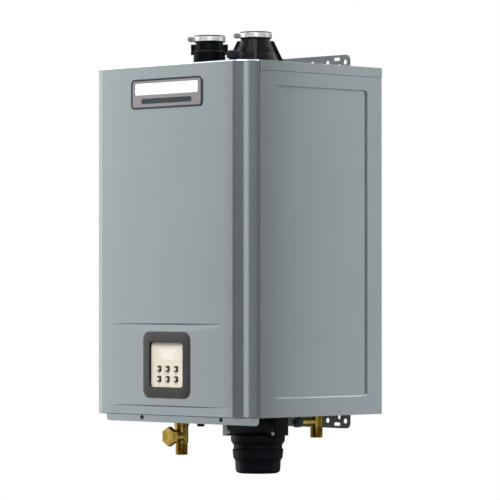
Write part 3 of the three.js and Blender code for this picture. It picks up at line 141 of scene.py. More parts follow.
def relief(tree, height, depth_mm, edge_mm=0.0):
    """The normal of a surface with a height pattern of this depth, over edges rounded by this much."""
    inputs = {"Height": height, "Distance": depth_mm * MM}
    if edge_mm:
        inputs["Normal"] = add(tree, "Bevel", {"Radius": edge_mm * MM}, samples=4)
    return add(tree, "Bump", inputs)


def grained(tree, place, grain_mm, depth_mm, edge_mm, detail=2.0):
    """The normal of an evenly grained surface with rounded edges."""
    height = add(tree, "TexNoise", {"Vector": place, "Scale": grain(grain_mm), "Detail": detail})
    return relief(tree, height, depth_mm, edge_mm)


def mottled(tree, place, size_mm, stops, low, high, detail=1.0):
    """A colour and a roughness that drift together in clouds of this size."""
    cloud = add(tree, "TexNoise", {"Vector": place, "Scale": grain(size_mm), "Detail": detail})
    return {
        "Base Color": add(tree, "ValToRGB", {"Fac": cloud}, stops=stops),
        "Roughness": add(tree, "MapRange", {"Value": cloud, "To Min": low, "To Max": high}),
    }


# Powder-coated pressed steel: a satin film that mirrors soft bands, with a fine orange-peel ripple
def coated_steel(name, hex_low, hex_high, edge_mm):
    material, tree, place = new_material(name)
    cloud = add(tree, "TexNoise", {"Vector": place, "Scale": grain(90), "Detail": 1.0})
    wave = add(tree, "TexNoise", {"Vector": place, "Scale": grain(25)})
    stops = {0.3: linear(hex_low), 0.7: linear(hex_high)}
    return finished(material, tree, {
        "Base Color": add(tree, "ValToRGB", {"Fac": cloud}, stops=stops),
        "Metallic": 0.9,
        "Roughness": add(tree, "MapRange", {"Value": wave, "To Min": 0.23, "To Max": 0.24}),
        "Normal": grained(tree, place, 1.6, 0.0012, edge_mm, detail=1.0),
    })


# Zinc-coated sheet: overlapping crystals of mixed grey with a dull, uneven shine
def galvanised(name, hex_tones, metallic):
    material, tree, place = new_material(name)
    drift = add(tree, "TexNoise", {"Vector": place, "Scale": grain(9)}, output="Color")
    bent = add(tree, "VectorMath", {0: drift, 1: [3 * MM] * 3, 2: place}, operation="MULTIPLY_ADD")
    crystal = add(tree, "TexVoronoi", {"Vector": bent, "Scale": grain(8)}, output="Color")
    tone = add(tree, "SeparateColor", {"Color": crystal})
    stops = {share: linear(code) for share, code in zip((0.0, 0.5, 1.0), hex_tones)}
    return finished(material, tree, {
        "Base Color": add(tree, "ValToRGB", {"Fac": tone}, stops=stops),
        "Metallic": metallic,
        "Roughness": add(tree, "MapRange", {"Value": tone, "To Min": 0.5, "To Max": 0.62}),
        "Normal": grained(tree, place, 3, 0.01, 0.3),
    })


# Drawn steel strip: bright, with fine lines along the rolling direction
def drawn_steel(name, hex_code, line_axis):
    material, tree, place = new_material(name)
    stretch = [grain(0.35)] * 3
    stretch[line_axis] = grain(18)
    drawn = add(tree, "VectorMath", {0: place, 1: stretch}, operation="MULTIPLY")
    lines = add(tree, "TexNoise", {"Vector": drawn, "Scale": 1.0})
    return finished(material, tree, {
        "Base Color": linear(hex_code),
        "Metallic": 0.76,
        "Roughness": add(tree, "MapRange", {"Value": lines, "To Min": 0.24, "To Max": 0.32}),
        "Normal": relief(tree, lines, 0.003, 0.25),
    })


# Cast and machined brass: warm metal, a little darker and duller in its cast grain
def cast_brass(name):
    material, tree, place = new_material(name)
    stops = {0.3: linear("#9a823c"), 0.55: linear("#bb9f4d"), 0.75: linear("#cdb366")}
    return finished(material, tree, {
        **mottled(tree, place, 14, stops, 0.3, 0.18, detail=3.0),
        "Metallic": 1.0,
        "Normal": grained(tree, place, 0.9, 0.02, 0.35),
    })


# Injection-moulded plastic: an even colour with the mould's fine spark-eroded grain
def moulded(name, hex_code, roughness, grain_mm=0.5, depth_mm=0.015, edge_mm=0.4, gloss=0.5, hex_highlight=None):
    material, tree, place = new_material(name)
    base = linear(hex_code)
    look = mottled(tree, place, 40, {0.3: shade(base, 0.9), 0.7: base}, roughness - 0.04, roughness + 0.04)
    # a painted highlight on the crests and corners, when its colour is given
    if hex_highlight:
        look["Base Color"] = painted_edge_highlight(tree, look["Base Color"], hex_highlight)
    normal = grained(tree, place, grain_mm, depth_mm, edge_mm)
    return finished(material, tree, {**look, "Specular IOR Level": gloss, "Normal": normal})


def painted_edge_highlight(tree, colour, hex_highlight):
    """Paints a grey highlight on the crests and corners, where they would catch the light."""
    rounded = add(tree, "Bevel", {"Radius": 1.5 * MM}, samples=8)
    plain = add(tree, "NewGeometry", output="Normal")
    same = add(tree, "VectorMath", {0: rounded, 1: plain}, "Value", operation="DOT_PRODUCT")
    limits = {"From Min": 0.82, "From Max": 0.985, "To Min": 1.0, "To Max": 0.0}
    edge = add(tree, "MapRange", {"Value": same, **limits}, interpolation_type="SMOOTHSTEP")
    return add(tree, "Mix", {0: edge, 6: colour, 7: linear(hex_highlight)}, output=2, data_type="RGBA")


# Plain rolled metal for the pieces inside: soft shine with faint handling marks
def rolled_metal(name, hex_code, roughness):
    material, tree, place = new_material(name)
    base = linear(hex_code)
    stops = {0.35: shade(base, 0.8), 0.65: base}
    return finished(material, tree, {
        **mottled(tree, place, 30, stops, roughness - 0.06, roughness + 0.08, detail=4.0),
        "Metallic": 1.0,
        "Normal": grained(tree, place, 0.8, 0.01, 0.3),
    })


# Woven wire mesh: two crossing sets of steel wires with dark holes between them
def wire_mesh(name):
    material, tree, place = new_material(name)
    weave = add(tree, "TexChecker", {"Vector": place, "Scale": grain(0.6)}, output="Fac")
    return finished(material, tree, {
        "Base Color": linear("#a9adb0"),
        "Metallic": 1.0,
        "Roughness": 0.35,
        "Normal": relief(tree, weave, 0.1),
    })


# Stamped slots and recesses: the dark inside of a cut that no light reaches
def dark_slot(name):
    material, tree, place = new_material(name)
    soot = add(tree, "TexNoise", {"Vector": place, "Scale": grain(2)})
    tint = add(tree, "ValToRGB", {"Fac": soot}, stops={0.3: linear("#17181a"), 0.7: linear("#24262a")})
    return finished(material, tree, {"Base Color": tint, "Roughness": 0.7})


# Milky plastic with a faint glow, a little brighter in some places than in others: lit from behind in the
# figures, painted light on the lens
def glowing_plastic(name, hex_low, hex_high, hex_glow, strength):
    material, tree, place = new_material(name)
    stops = {0.3: linear(hex_low), 0.7: linear(hex_high)}
    return finished(material, tree, {
        **mottled(tree, place, 6, stops, 0.3, 0.4, detail=2.0),
        "Emission Color": linear(hex_glow),
        "Emission Strength": strength,
    })


# The finish of each slot, with what it gives the eye
MATERIALS = {
    # the case's blue-grey satin, bright where it faces a lamp and dark beside it
    "paint": coated_steel("powder_coated_pressed_steel", "#adb8bb", "#afbabd", 0.6),
    # flat mid-grey sheet and screws
    "galvanised": galvanised("hot_dip_galvanised_sheet", ("#5f6365", "#686c6e", "#727678"), 0.12),
    # bright bands with soft streaks of light
    "steel": drawn_steel("drawn_stainless_strip", "#f0f1f2", 2),
    # golden fittings that go dark in their shaded threads
    "brass": cast_brass("cast_and_machined_brass"),
    # near black with a touch of blue and little shine
    "black_plastic": moulded("moulded_glass_filled_nylon", "#12151c", 0.38, gloss=0.11),
    # a soft dark grey frame
    "charcoal_plastic": moulded("moulded_satin_abs_charcoal", "#3c3c3c", 0.42, edge_mm=0.3),
    # a warm white face
    "cream_plastic": moulded("moulded_abs_warm_white", "#f9efde", 0.4, edge_mm=0.3),
    # dark brown domes with a soft highlight
    "key_rubber": moulded("moulded_silicone_key", "#35291b", 0.3, edge_mm=0.5),
    # a plain grey metal sheen
    "nameplate": coated_steel("anodised_sheet_plate", "#a8a4a8", "#b0acaf", 0.5),
    # reddish tube with handling marks
    "copper": rolled_metal("drawn_copper_tube", "#b87345", 0.32),
    # pale matt castings
    "aluminium": rolled_metal("die_cast_aluminium", "#b9bcbe", 0.45),
    # deep black sleeves with a coarse matt grain
    "black_rubber": moulded("moulded_epdm_rubber", "#0c0c0e", 0.6, grain_mm=1.2, depth_mm=0.03, gloss=0.12),
    # a green laminate
    "board": moulded("glass_epoxy_board", "#2f6b44", 0.4),
    # plain off-white housings
    "white_plastic": moulded("moulded_polypropylene", "#e8e8e4", 0.4),
}

# Finishes that differ from their slot's
DARK_SLOT = dark_slot("shaded_stamped_slot")
WOVEN_WIRE = wire_mesh("woven_wire_basket")
# the upper bracket in a darker copy of the zinc as painted shade, and the filter's hanger in a paler,
# shinier copy as painted light
SHADED_ZINC_COPY = galvanised("painted_shade_galvanised_sheet", ("#44484a", "#4d5153", "#565a5c"), 0.12)
LIT_ZINC_COPY = galvanised("painted_light_galvanised_sheet", ("#b0b4b6", "#b8bcbe", "#c0c4c6"), 0.8)
# the plate's dark border, its grey field and its glossy white panel
PLATE_BORDER = coated_steel("anodised_plate_border", "#4a5054", "#50565a", 0.4)
PLATE_FIELD = coated_steel("anodised_plate_field", "#a8a3a6", "#aeaaac", 0.2)
PLATE_PANEL = moulded("enamelled_plate_panel", "#f4f4f4", 0.35, edge_mm=0.0)
# the display's cool white figures, lit from behind, on its warm lens, whose faint glow is painted light over
# the bezel's shade
FIGURE_LIGHT = glowing_plastic("backlit_milky_bars", "#f6f8f8", "#ffffff", "#eef6ff", 0.16)
LENS_PAINTED_GLOW = glowing_plastic("cream_lens_painted_glow", "#f4ead9", "#f9efde", "#ffeed8", 0.02)
# faint grey bars under the keys and pale wedges on them
BAR_INK = moulded("printed_grey_ink", "#a79c8b", 0.5, edge_mm=0.0)
PALE_KEY_WEDGE = moulded("pale_cream_wedge", "#efe6d2", 0.45, edge_mm=0.0)
# deep black collars with a painted highlight on their crests, and a knob a little paler than the plastic
# round it as a painted sheen
COLLAR_PLASTIC = moulded("moulded_black_polypropylene", "#060709", 0.3, gloss=0.05, hex_highlight="#57534f")
KNOB_PAINTED_SHEEN = moulded("moulded_nylon_painted_sheen", "#4b4d51", 0.34)


# Mesh builders

def piece(name, vertices, faces, slot, body="case", replaces=(), smooth_angle=32.0, material=None):
    """A mesh in row coordinates, smooth except across edges sharper than the angle."""
    mesh = bpy.data.meshes.new(name)
    mesh.from_pydata([tuple(v) for v in vertices], [], faces)
    mesh.validate()
    welded = bmesh.new()
    welded.from_mesh(mesh)
    bmesh.ops.remove_doubles(welded, verts=welded.verts, dist=1e-6)
    bmesh.ops.recalc_face_normals(welded, faces=welded.faces)
    welded.to_mesh(mesh)
    welded.free()
    mesh.shade_smooth()
    mesh.set_sharp_from_angle(angle=math.radians(smooth_angle))
    made = bpy.data.objects.new(name, mesh)
    bpy.context.scene.collection.objects.link(made)
    mesh.materials.append(material or MATERIALS[slot])
    if replaces:
        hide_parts(*replaces)
    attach(made, body)
    return made


def arc(cx, cy, radius, start, turn, steps):
    """Points along a round stretch, both its ends included."""
    angles = [start + turn * i / steps for i in range(steps + 1)]
    return [(cx + radius * math.cos(angle), cy + radius * math.sin(angle)) for angle in angles]


def rounded_outline(width, height, radius, cx=0.0, cy=0.0, steps=8):
    points = []
    x, y = width / 2 - radius, height / 2 - radius
    for corner, (sx, sy) in enumerate([(1, 1), (-1, 1), (-1, -1), (1, -1)]):
        points += arc(cx + sx * x, cy + sy * y, radius, QUARTER * corner, QUARTER, steps)
    return points


def hexagon(across_flats, cx, cy):
    return arc(cx, cy, across_flats / math.sqrt(3), QUARTER, FULL, 6)[:-1]


def laid(axis, across, up, along, centre=(0, 0, 0)):
    """Two places across an axis and one along it, as x, y and z about a centre."""
    local = {"z": (across, up, along), "y": (across, along, up), "x": (along, across, up)}[axis]
    return tuple(local[k] + centre[k] for k in range(3))


def bands(rows, count, closed=True):
    """Faces between rows of points that follow each other, with count points in a row."""
    faces = []
    for k in range(rows - 1):
        for i in range(count if closed else count - 1):
            j = (i + 1) % count
            faces.append((k * count + i, k * count + j, (k + 1) * count + j, (k + 1) * count + i))
    return faces


def end_caps(rows, count):
    """One face across the first row of points and one across the last."""
    last = (rows - 1) * count
    return [tuple(range(count)), tuple(range(last, last + count))]


def merged(*parts):
    """Several (vertices, faces) pairs as one."""
    vertices, faces = [], []
    for some_vertices, some_faces in parts:
        start = len(vertices)
        vertices.extend(some_vertices)
        faces.extend(tuple(start + i for i in face) for face in some_faces)
    return vertices, faces


def turned_faces(profile, axis, centre, steps, radius_at=None):
    """Vertices and faces of a turned shape; the profile gives radius and place along the axis."""
    vertices = []
    for radius, along in profile:
        for i in range(steps):
            angle = FULL * i / steps
            r = radius_at(radius, along, angle) if radius_at else radius
            vertices.append(row_point(*laid(axis, r * math.cos(angle), r * math.sin(angle), along, centre)))
    faces = bands(len(profile), steps)
    if profile[0] != profile[-1]:
        ends = zip((profile[0], profile[-1]), end_caps(len(profile), steps))
        faces += [cap for (radius, _), cap in ends if radius > 0]
    return vertices, faces


def prism_faces(outline, axis, low, high, move=None, chamfer=0.0):
    """A straight prism whose ends can have a small chamfer; the outline is in millimetres."""
    levels = [(0.0, low), (0.0, high)]
    if chamfer:
        levels = [(chamfer, low), (0.0, low + chamfer), (0.0, high - chamfer), (chamfer, high)]
    count = len(outline)
    cx, cy = (sum(point[k] for point in outline) / count for k in (0, 1))
    vertices = []
    for inset, along in levels:
        for x, y in outline:
            size = math.hypot(x - cx, y - cy)
            share = (size - inset) / size
            local = laid(axis, cx + (x - cx) * share, cy + (y - cy) * share, along)
            vertices.append(row_point(*(move(*local) if move else local)))
    return vertices, bands(len(levels), count) + end_caps(len(levels), count)


def lofted(levels):
    """A skin through outlines of one count, each given with its place along y, open at both ends."""
    vertices = [row_point(x, y, z) for outline, y in levels for x, z in outline]
    return vertices, bands(len(levels), len(levels[0][0]))


def capped(levels):
    """A lofted skin with both its ends closed."""
    vertices, faces = lofted(levels)
    return vertices, faces + end_caps(len(levels), len(levels[0][0]))


def rim_faces(outer, inner, low, high):
    """A flat frame between two outlines of one count, along y."""
    return lofted([(outer, low), (outer, high), (inner, high), (inner, low), (outer, low)])


def smoothed_copy(node, smooth_angle=32.0, material=None, move=None):
    """The CAD node's own shape with welded vertices and smooth round faces."""
    welded = bmesh.new()
    welded.from_mesh(frame["nodes"][node].data)
    bmesh.ops.remove_doubles(welded, verts=welded.verts, dist=2e-6)
    flat = math.radians(0.5)
    bmesh.ops.dissolve_limit(welded, angle_limit=flat, verts=welded.verts, edges=welded.edges)
    welded.verts.index_update()
    vertices = [move(v.co) if move else v.co.copy() for v in welded.verts]
    faces = [[v.index for v in face.verts] for face in welded.faces]
    welded.free()
    options = {"body": BODY_OF[node], "replaces": [node], "smooth_angle": smooth_angle, "material": material}
    piece("smooth_" + node, vertices, faces, SLOT_OF[node], **options)


# Every CAD node gets its slot's material; the visible ones are replaced below
SLOT_OF = {row["node"]: row["material_slot"] for row in frame["record"]["subparts"]}
BODY_OF = {node: body for body, nodes in frame["record"]["behaviour"]["bodies"].items() for node in nodes}
for node_name, node in frame["nodes"].items():
    node.data.materials.clear()
    node.data.materials.append(MATERIALS[SLOT_OF[node_name]])

# Front cover: rounded pan, folded top and bottom edges, two creases and the screwed lip
COVER_RADIUS = 38.0
CORNER_STEPS = 20
SHEET = 1.0
FOLD = 3.0
FOLD_STEPS = 6
CREASE_HALF = 167.0
CREASE_FADE = 14.5
CREASE_COLUMNS = 40
FADE_STEPS = 6
FLAT_KEEPER = 1.5
UPPER_CREASE = {"z": 189.2, "depth": 3.1, "height": 4.0, "fade": CREASE_FADE}
LOWER_CREASE = {"z": 20.0, "depth": 2.7, "height": 4.4, "fade": 0.0}
CREASE_STEP = ((0.0, 1.0), (0.2, 0.86), (0.8, 0.14), (1.0, 0.0))
CREASE_LEAST, CREASE_BOW = 0.002, 0.6
BEZEL_Z = 104.8
OPENING_HALF = 63.7
OPENING_LOW = BEZEL_Z - 62.8
OPENING_HIGH = BEZEL_Z + 62.8
OPENING_RIM = 1.0


def front_columns():
    """The x places across the flat front, with the control opening's edges among them."""
    edges = (HALF - COVER_RADIUS, OPENING_HALF, OPENING_HALF + OPENING_RIM)
    columns = {side * edge for edge in edges for side in (-1, 1)}
    columns |= {CREASE_HALF * (2 * i / CREASE_COLUMNS - 1) for i in range(CREASE_COLUMNS + 1)}
    return sorted(columns)


def cover_outline(inset, z, rise, press):
    """Points round the pan at one level; rise and press are the crease's offset and depth at mid-width."""
    radius, side, front = COVER_RADIUS - inset, HALF - inset, FRONT_Y + inset
    left = arc(radius - side, front + radius, radius, math.pi, QUARTER, CORNER_STEPS)
    right = arc(side - radius, front + radius, radius, 3 * QUARTER, QUARTER, CORNER_STEPS)
    points = [(x, y, z) for x, y in [(-side, COVER_REAR_Y), *left[:-1]]]
    for x in front_columns():
        share = max(1 - (x / CREASE_HALF) ** 2, CREASE_LEAST) ** CREASE_BOW
        points.append((x, front + press * share, z + rise * share))
    return points + [(x, y, z) for x, y in [*right[1:], (side, COVER_REAR_Y)]]


def crease_levels(z, depth, height, fade):
    """From below: the panel sinks over the fade, if there is one, then steps back out at the crease.

    A level just outside each bend keeps the flat panel's shading flat.
    """
    half = height / 2
    steps = FADE_STEPS if fade else 0
    levels = [(0.0, z, -half - fade - FLAT_KEEPER, 0.0 if fade else depth)]
    for i in range(steps):
        levels.append((0.0, z, -half - fade * (1 - i / steps), depth * i / steps))
    for share, press in CREASE_STEP:
        levels.append((0.0, z, height * share - half, depth * press))
    levels.append((0.0, z, half + FLAT_KEEPER, 0.0))
    return levels


def cover_levels():
    """Every level of the pan, from its bottom fold to its top fold."""
    fold = [*arc(FOLD, FOLD, FOLD, -QUARTER, -QUARTER, FOLD_STEPS), (0.0, FOLD + FLAT_KEEPER)]
    levels = [(inset, z, 0.0, LOWER_CREASE["depth"]) for inset, z in fold]
    levels += crease_levels(**LOWER_CREASE)
    for z in (OPENING_LOW - OPENING_RIM, OPENING_LOW, OPENING_HIGH, OPENING_HIGH + OPENING_RIM):
        levels.append((0.0, z, 0.0, 0.0))
    levels += crease_levels(**UPPER_CREASE)
    return levels + [(inset, CASE_HEIGHT - z, 0.0, 0.0) for inset, z in reversed(fold)]


def front_cover():
    """The pressed pan, open where the control sits."""
    rows = [cover_outline(*level) for level in cover_levels()]
    points = [point for row in rows for point in row]
    faces = end_caps(len(rows), len(rows[0]))
    for face in bands(len(rows), len(rows[0]), closed=False):
        x, _, z = (sum(points[i][k] for i in face) / len(face) for k in range(3))
        if abs(x) > OPENING_HALF or not OPENING_LOW < z < OPENING_HIGH:
            faces.append(face)
    vertices = [row_point(*point) for point in points]
    made = piece("front_cover_skin", vertices, faces, "paint", replaces=["front_cover"], smooth_angle=40.0)
    shell = made.modifiers.new("sheet", "SOLIDIFY")
    shell.thickness = SHEET * MM
    shell.offset = -1.0


LIP_HALF = 229.0
LIP_TOP = 0.9
LIP_DROP = 16.0
LIP_RADIUS = 9.0


def cover_lip():
    """The lip that hangs from the pan's bottom edge, with rounded lower corners."""
    outline = [(LIP_HALF, LIP_TOP), (-LIP_HALF, LIP_TOP)]
    for start, side in ((math.pi, -1), (3 * QUARTER, 1)):
        outline += arc(side * (LIP_HALF - LIP_RADIUS), LIP_RADIUS - LIP_DROP, LIP_RADIUS, start, QUARTER, 8)
    lip = prism_faces(outline, "y", COVER_REAR_Y - SHEET, COVER_REAR_Y)
    piece("front_cover_lip", *lip, "paint", replaces=["front_cover"])


SIDES = {"left": -1, "right": 1}
FLANGE_DROP = 20.0
GAP_HEIGHT = 0.45
GAP_MARGIN = 2.0
GAP_SUNK, GAP_PROUD = 0.5, 0.12


def flange_gap(word, side):
    """The shaded gap under the lid's side flange."""
    high = CASE_HEIGHT - FLANGE_DROP
    low = high - GAP_HEIGHT
    front, rear = SEAM_Y + GAP_MARGIN, -GAP_MARGIN
    outline = [(front, low), (rear, low), (rear, high), (front, high)]
    gap = prism_faces(outline, "x", side * (HALF - GAP_SUNK), side * (HALF + GAP_PROUD))
    piece("flange_gap_" + word, *gap, "paint", material=DARK_SLOT)


front_cover()
cover_lip()
for word, side in SIDES.items():
    flange_gap(word, side)

# Small screws: a flanged head with a cross recess, turned to face along an axis
RECESS_LIFT = 0.02
COVER_SCREW = {"radius": 4.6, "height": 2.6}
COVER_SCREW_X, COVER_SCREW_Z = 119.0, -6.7
LID_SCREW = {"radius": 2.6, "height": 0.37}
LID_SCREW_YS, LID_SCREW_DROP, LID_SHEET = (-179.0, -50.8), 10.8, 0.6
PAN_SCREW = {"radius": 2.4, "height": 0.9}
PAN_SCREW_Y, PAN_SCREW_Z = -128.8, 9.1


def screw_head(name, centre, axis, outward, radius, height, replaces=(), slot="steel", material=None):
    """A screw head seated at its centre, standing outward along the axis."""
    flange = [(0.0, 0.0), (radius, 0.0), (radius, height * 0.22), (radius * 0.78, height * 0.35)]
    dome = [(radius * 0.74, height * 0.85), (radius * 0.55, height), (0.0, height)]
    profile = [(r, outward * along) for r, along in flange + dome]
    head = turned_faces(profile, axis, centre, 32)
    half_length, half_width = radius * 0.6, radius * 0.15
    bars = []
    for a, b in ((half_length, half_width), (half_width, half_length)):
        corners = [(-a, -b), (a, -b), (a, b), (-a, b)]
        ring = [laid(axis, x, y, outward * (height + RECESS_LIFT), centre) for x, y in corners]
        bars.append(([row_point(*place) for place in ring], [(0, 1, 2, 3)]))
    piece(name, *head, slot, replaces=replaces, material=material)
    piece(name + "_recess", *merged(*bars), slot, material=DARK_SLOT)


for word, side in SIDES.items():
    node, place = "cover_screw_" + word, (side * COVER_SCREW_X, COVER_REAR_Y - SHEET, COVER_SCREW_Z)
    options = {"replaces": [node], "material": MATERIALS["galvanised"]}
    screw_head(node + "_head", place, "y", -1, **COVER_SCREW, **options)
for number, y in enumerate(LID_SCREW_YS, start=1):
    for word, side in SIDES.items():
        place = (side * (HALF + LID_SHEET), y, CASE_HEIGHT - LID_SCREW_DROP)
        screw_head(f"lid_screw_{word}_{number}", place, "x", side, **LID_SCREW, slot="paint")
for word, side in SIDES.items():
    place = (side * HALF, PAN_SCREW_Y, PAN_SCREW_Z)
    screw_head("pan_screw_" + word, place, "x", side, **PAN_SCREW, slot="paint")

# Pieces that only need their round faces smoothed
for node_name in (
    "case_shell", "top_panel", "bottom_panel", "wall_bracket_lower", "fan_housing", "fan_wheel", "fan_motor",
    "exhaust_duct", "condensate_trap", "flow_sensor", "gas_pipe", "cold_pipe", "hot_pipe", "gas_valve",
    "filter_cartridge",
):
    smoothed_copy(node_name)
smoothed_copy("strainer", material=WOVEN_WIRE)
# the upper bracket's darker zinc is painted shade; the hanger's paler zinc is painted light
smoothed_copy("wall_bracket_upper", material=SHADED_ZINC_COPY)
smoothed_copy("filter_bracket", material=LIT_ZINC_COPY)

# Nameplate: a dark raised border round a grey field, with a plain paler panel and a dark strip on it
# Each edge gives a width, a height and a corner radius
PLATE_Z = 665.0
BORDER_EDGE = (214, 62, 10)
FIELD_EDGE = (206, 54, 6)
PANEL_EDGE = (188, 24, 4)
STRIP_EDGE = (150, 11, 3)
PANEL_Z = PLATE_Z + 10
STRIP_Z = PLATE_Z - 15
BACK_HEIGHT, FIELD_HEIGHT, PANEL_HEIGHT, RIM_HEIGHT = 1.3, 1.4, 1.7, 2.0
PLATE_OVERLAP = 0.1


def on_front(edge, z, low, high):
    """A flat plate between two heights over the pan's front."""
    return prism_faces(rounded_outline(*edge, 0, z), "y", FRONT_Y - high, FRONT_Y - low)


def nameplate():
    outer, inner = (rounded_outline(*edge, 0, PLATE_Z) for edge in (BORDER_EDGE, FIELD_EDGE))
    foot = BACK_HEIGHT - PLATE_OVERLAP
    rim = rim_faces(outer, inner, FRONT_Y - RIM_HEIGHT, FRONT_Y - foot)
    border = merged(on_front(BORDER_EDGE, PLATE_Z, 0.0, BACK_HEIGHT), rim)
    field = on_front(FIELD_EDGE, PLATE_Z, foot, FIELD_HEIGHT)
    panel = on_front(PANEL_EDGE, PANEL_Z, BACK_HEIGHT, PANEL_HEIGHT)
    strip = on_front(STRIP_EDGE, STRIP_Z, BACK_HEIGHT, PANEL_HEIGHT)
    piece("plate_border", *border, "nameplate", replaces=["nameplate"], material=PLATE_BORDER)
    piece("plate_field", *field, "nameplate", material=PLATE_FIELD)
    piece("plate_panel", *panel, "nameplate", material=PLATE_PANEL)
    piece("plate_strip", *strip, "nameplate", material=PLATE_BORDER)


nameplate()

# Control: a soft-edged bezel with a black well painted as the recess's shade, domed keys, and seven-bar
# figures on the cream lens
FACE_Y = -397.3
BEZEL_EDGE = (139.5, 137.6, 18)
BEZEL_FRONT = FRONT_Y - 2.0
WINDOW_EDGE = (98.4, 92.3, 7.0)
FACEPLATE_HALF_WIDTH, FACEPLATE_HALF_HEIGHT, FACEPLATE_MIDDLE = 46.25, 45.85, 38.0
KEY_PITCH = 25.2
KEY_ROWS = (96.6, 75.6)
KEY_WIDTH, KEY_HEIGHT, KEY_CORNER = 12.6, 12.3, 2.2
# The key's side and dome, as insets from its edge and places behind the faceplate's front
KEY_DOME = ((0.0, 2.6), (0.0, -0.3), (0.12, -0.62), (0.45, -0.9), (1.1, -1.08), (2.6, -1.15))
WEDGE = ((-4.9, 3.6), (-1.6, 3.0), (1.4, 0.2), (-0.2, -2.2), (-1.2, -3.6), (-4.9, -3.6))
WEDGE_LOW, WEDGE_HIGH = 1.0, 1.19
BAR_LENGTHS, BAR_HEIGHT, BAR_PITCH, BAR_DROP = (8.0, 5.0), 0.9, 1.8, 2.6
PRINT_SUNK, PRINT_PROUD = 0.1, 0.03


def grown(edge, extra):
    """An outline round the control's centre, outside its edge by this much."""
    width, height, radius = edge
    return rounded_outline(width + 2 * extra, height + 2 * extra, radius + extra, 0, BEZEL_Z, steps=12)


def control_bezel():
    """A satin frame with a softly rounded outer edge, and the black well that its window opens into, its
    black painted shade.
    """
    front = BEZEL_FRONT
    frame_steps = [(0, FRONT_Y + 1.5), (0, front + 1.2), (-0.35, front + 0.4), (-1.2, front)]
    rim_steps = [(1.5, front), (1.1, front + 0.3), (1.1, FACE_Y + 1.0)]
    well_steps = [(1.12, front + 0.35), (0.1, front + 0.35), (0.05, FACE_Y + 1.2)]
    shape = [(grown(BEZEL_EDGE, extra), y) for extra, y in frame_steps]
    shape += [(grown(WINDOW_EDGE, extra), y) for extra, y in rim_steps]
    well = [(grown(WINDOW_EDGE, extra), y) for extra, y in well_steps]
    piece("control_bezel_frame", *lofted(shape), "charcoal_plastic", replaces=["control_bezel"])
    # the well's black plastic is painted shade inside the window's recess
    piece("control_bezel_well", *lofted(well), "charcoal_plastic", material=MATERIALS["black_plastic"])


def fills_window(place):
    """Moves the faceplate's outer edge out to the window."""
    x, y, z = case_point(place)
    rise = z - BEZEL_Z
    if abs(x) > FACEPLATE_MIDDLE:
        x += math.copysign(WINDOW_EDGE[0] / 2 - FACEPLATE_HALF_WIDTH, x)
    if abs(rise) > FACEPLATE_MIDDLE:
        z += math.copysign(WINDOW_EDGE[1] / 2 - FACEPLATE_HALF_HEIGHT, rise)
    return row_point(x, y, z)


def key(number, x, z):
    """A domed key with a pale wedge on it and two plain short bars under it."""
    body = f"key_{number}"
    levels = []
    for inset, depth in KEY_DOME:
        size = (KEY_WIDTH - 2 * inset, KEY_HEIGHT - 2 * inset, KEY_CORNER - inset / 2)
        levels.append((rounded_outline(*size, x, z, steps=5), FACE_Y + depth))
    # a pale cream wedge on the left part of each key
    wedge = prism_faces([(x + a, z + b) for a, b in WEDGE], "y", FACE_Y - WEDGE_HIGH, FACE_Y - WEDGE_LOW)
    bars = []
    for i, length in enumerate(BAR_LENGTHS):
        bar_z = z - KEY_HEIGHT / 2 - BAR_DROP - i * BAR_PITCH
        bars.append(printed(rounded_outline(length, BAR_HEIGHT, 0.4, x, bar_z, steps=3)))
    piece(f"key_cap_{number}", *capped(levels), "key_rubber", body=body, replaces=[f"button_{number}"])
    piece(f"key_wedge_{number}", *wedge, "key_rubber", body=body, material=PALE_KEY_WEDGE)
    piece(f"key_mark_{number}", *merged(*bars), "cream_plastic", material=BAR_INK)


def printed(outline):
    """A thin print on the faceplate."""
    return prism_faces(outline, "y", FACE_Y - PRINT_PROUD, FACE_Y + PRINT_SUNK)


BARS_OF = {"0": "abcdef", "1": "bc", "2": "abged"}
FIGURES = (("1", -17.0), ("2", -3.5), ("0", 9.5))
FIGURE_WIDTH, FIGURE_HEIGHT, BAR = 9.0, 17.6, 1.9
BAR_GAP = BAR * 0.62
FIGURE_Z = 127.5
DEGREE_X, DEGREE_OUTER, DEGREE_INNER = 19.5, 2.6, 1.5
FIGURE_SUNK, FIGURE_PROUD = 0.1, 0.02


def figure_bars(figure, x, z):
    """The bars of one figure, centred on x and z."""
    w, h = (FIGURE_WIDTH - BAR) / 2, (FIGURE_HEIGHT - BAR) / 2
    ends = {
        "a": ((-w, h), (w, h)), "g": ((-w, 0), (w, 0)), "d": ((-w, -h), (w, -h)),
        "f": ((-w, 0), (-w, h)), "b": ((w, 0), (w, h)), "e": ((-w, -h), (-w, 0)), "c": ((w, -h), (w, 0)),
    }
    gap, half = BAR_GAP, BAR / 2
    parts = []
    for bar in BARS_OF[figure]:
        (ax, az), (bx, bz) = ends[bar]
        along = math.hypot(bx - ax, bz - az)
        ux, uz = (bx - ax) / along, (bz - az) / along
        corners = [(gap - half, 0), (gap, half), (along - gap, half), (along - gap + half, 0),
                   (along - gap, -half), (gap, -half)]
        outline = [(x + ax + ux * s - uz * t, z + az + uz * s + ux * t) for s, t in corners]
        parts.append(prism_faces(outline, "y", FACE_Y - FIGURE_PROUD, FACE_Y + FIGURE_SUNK))
    return parts


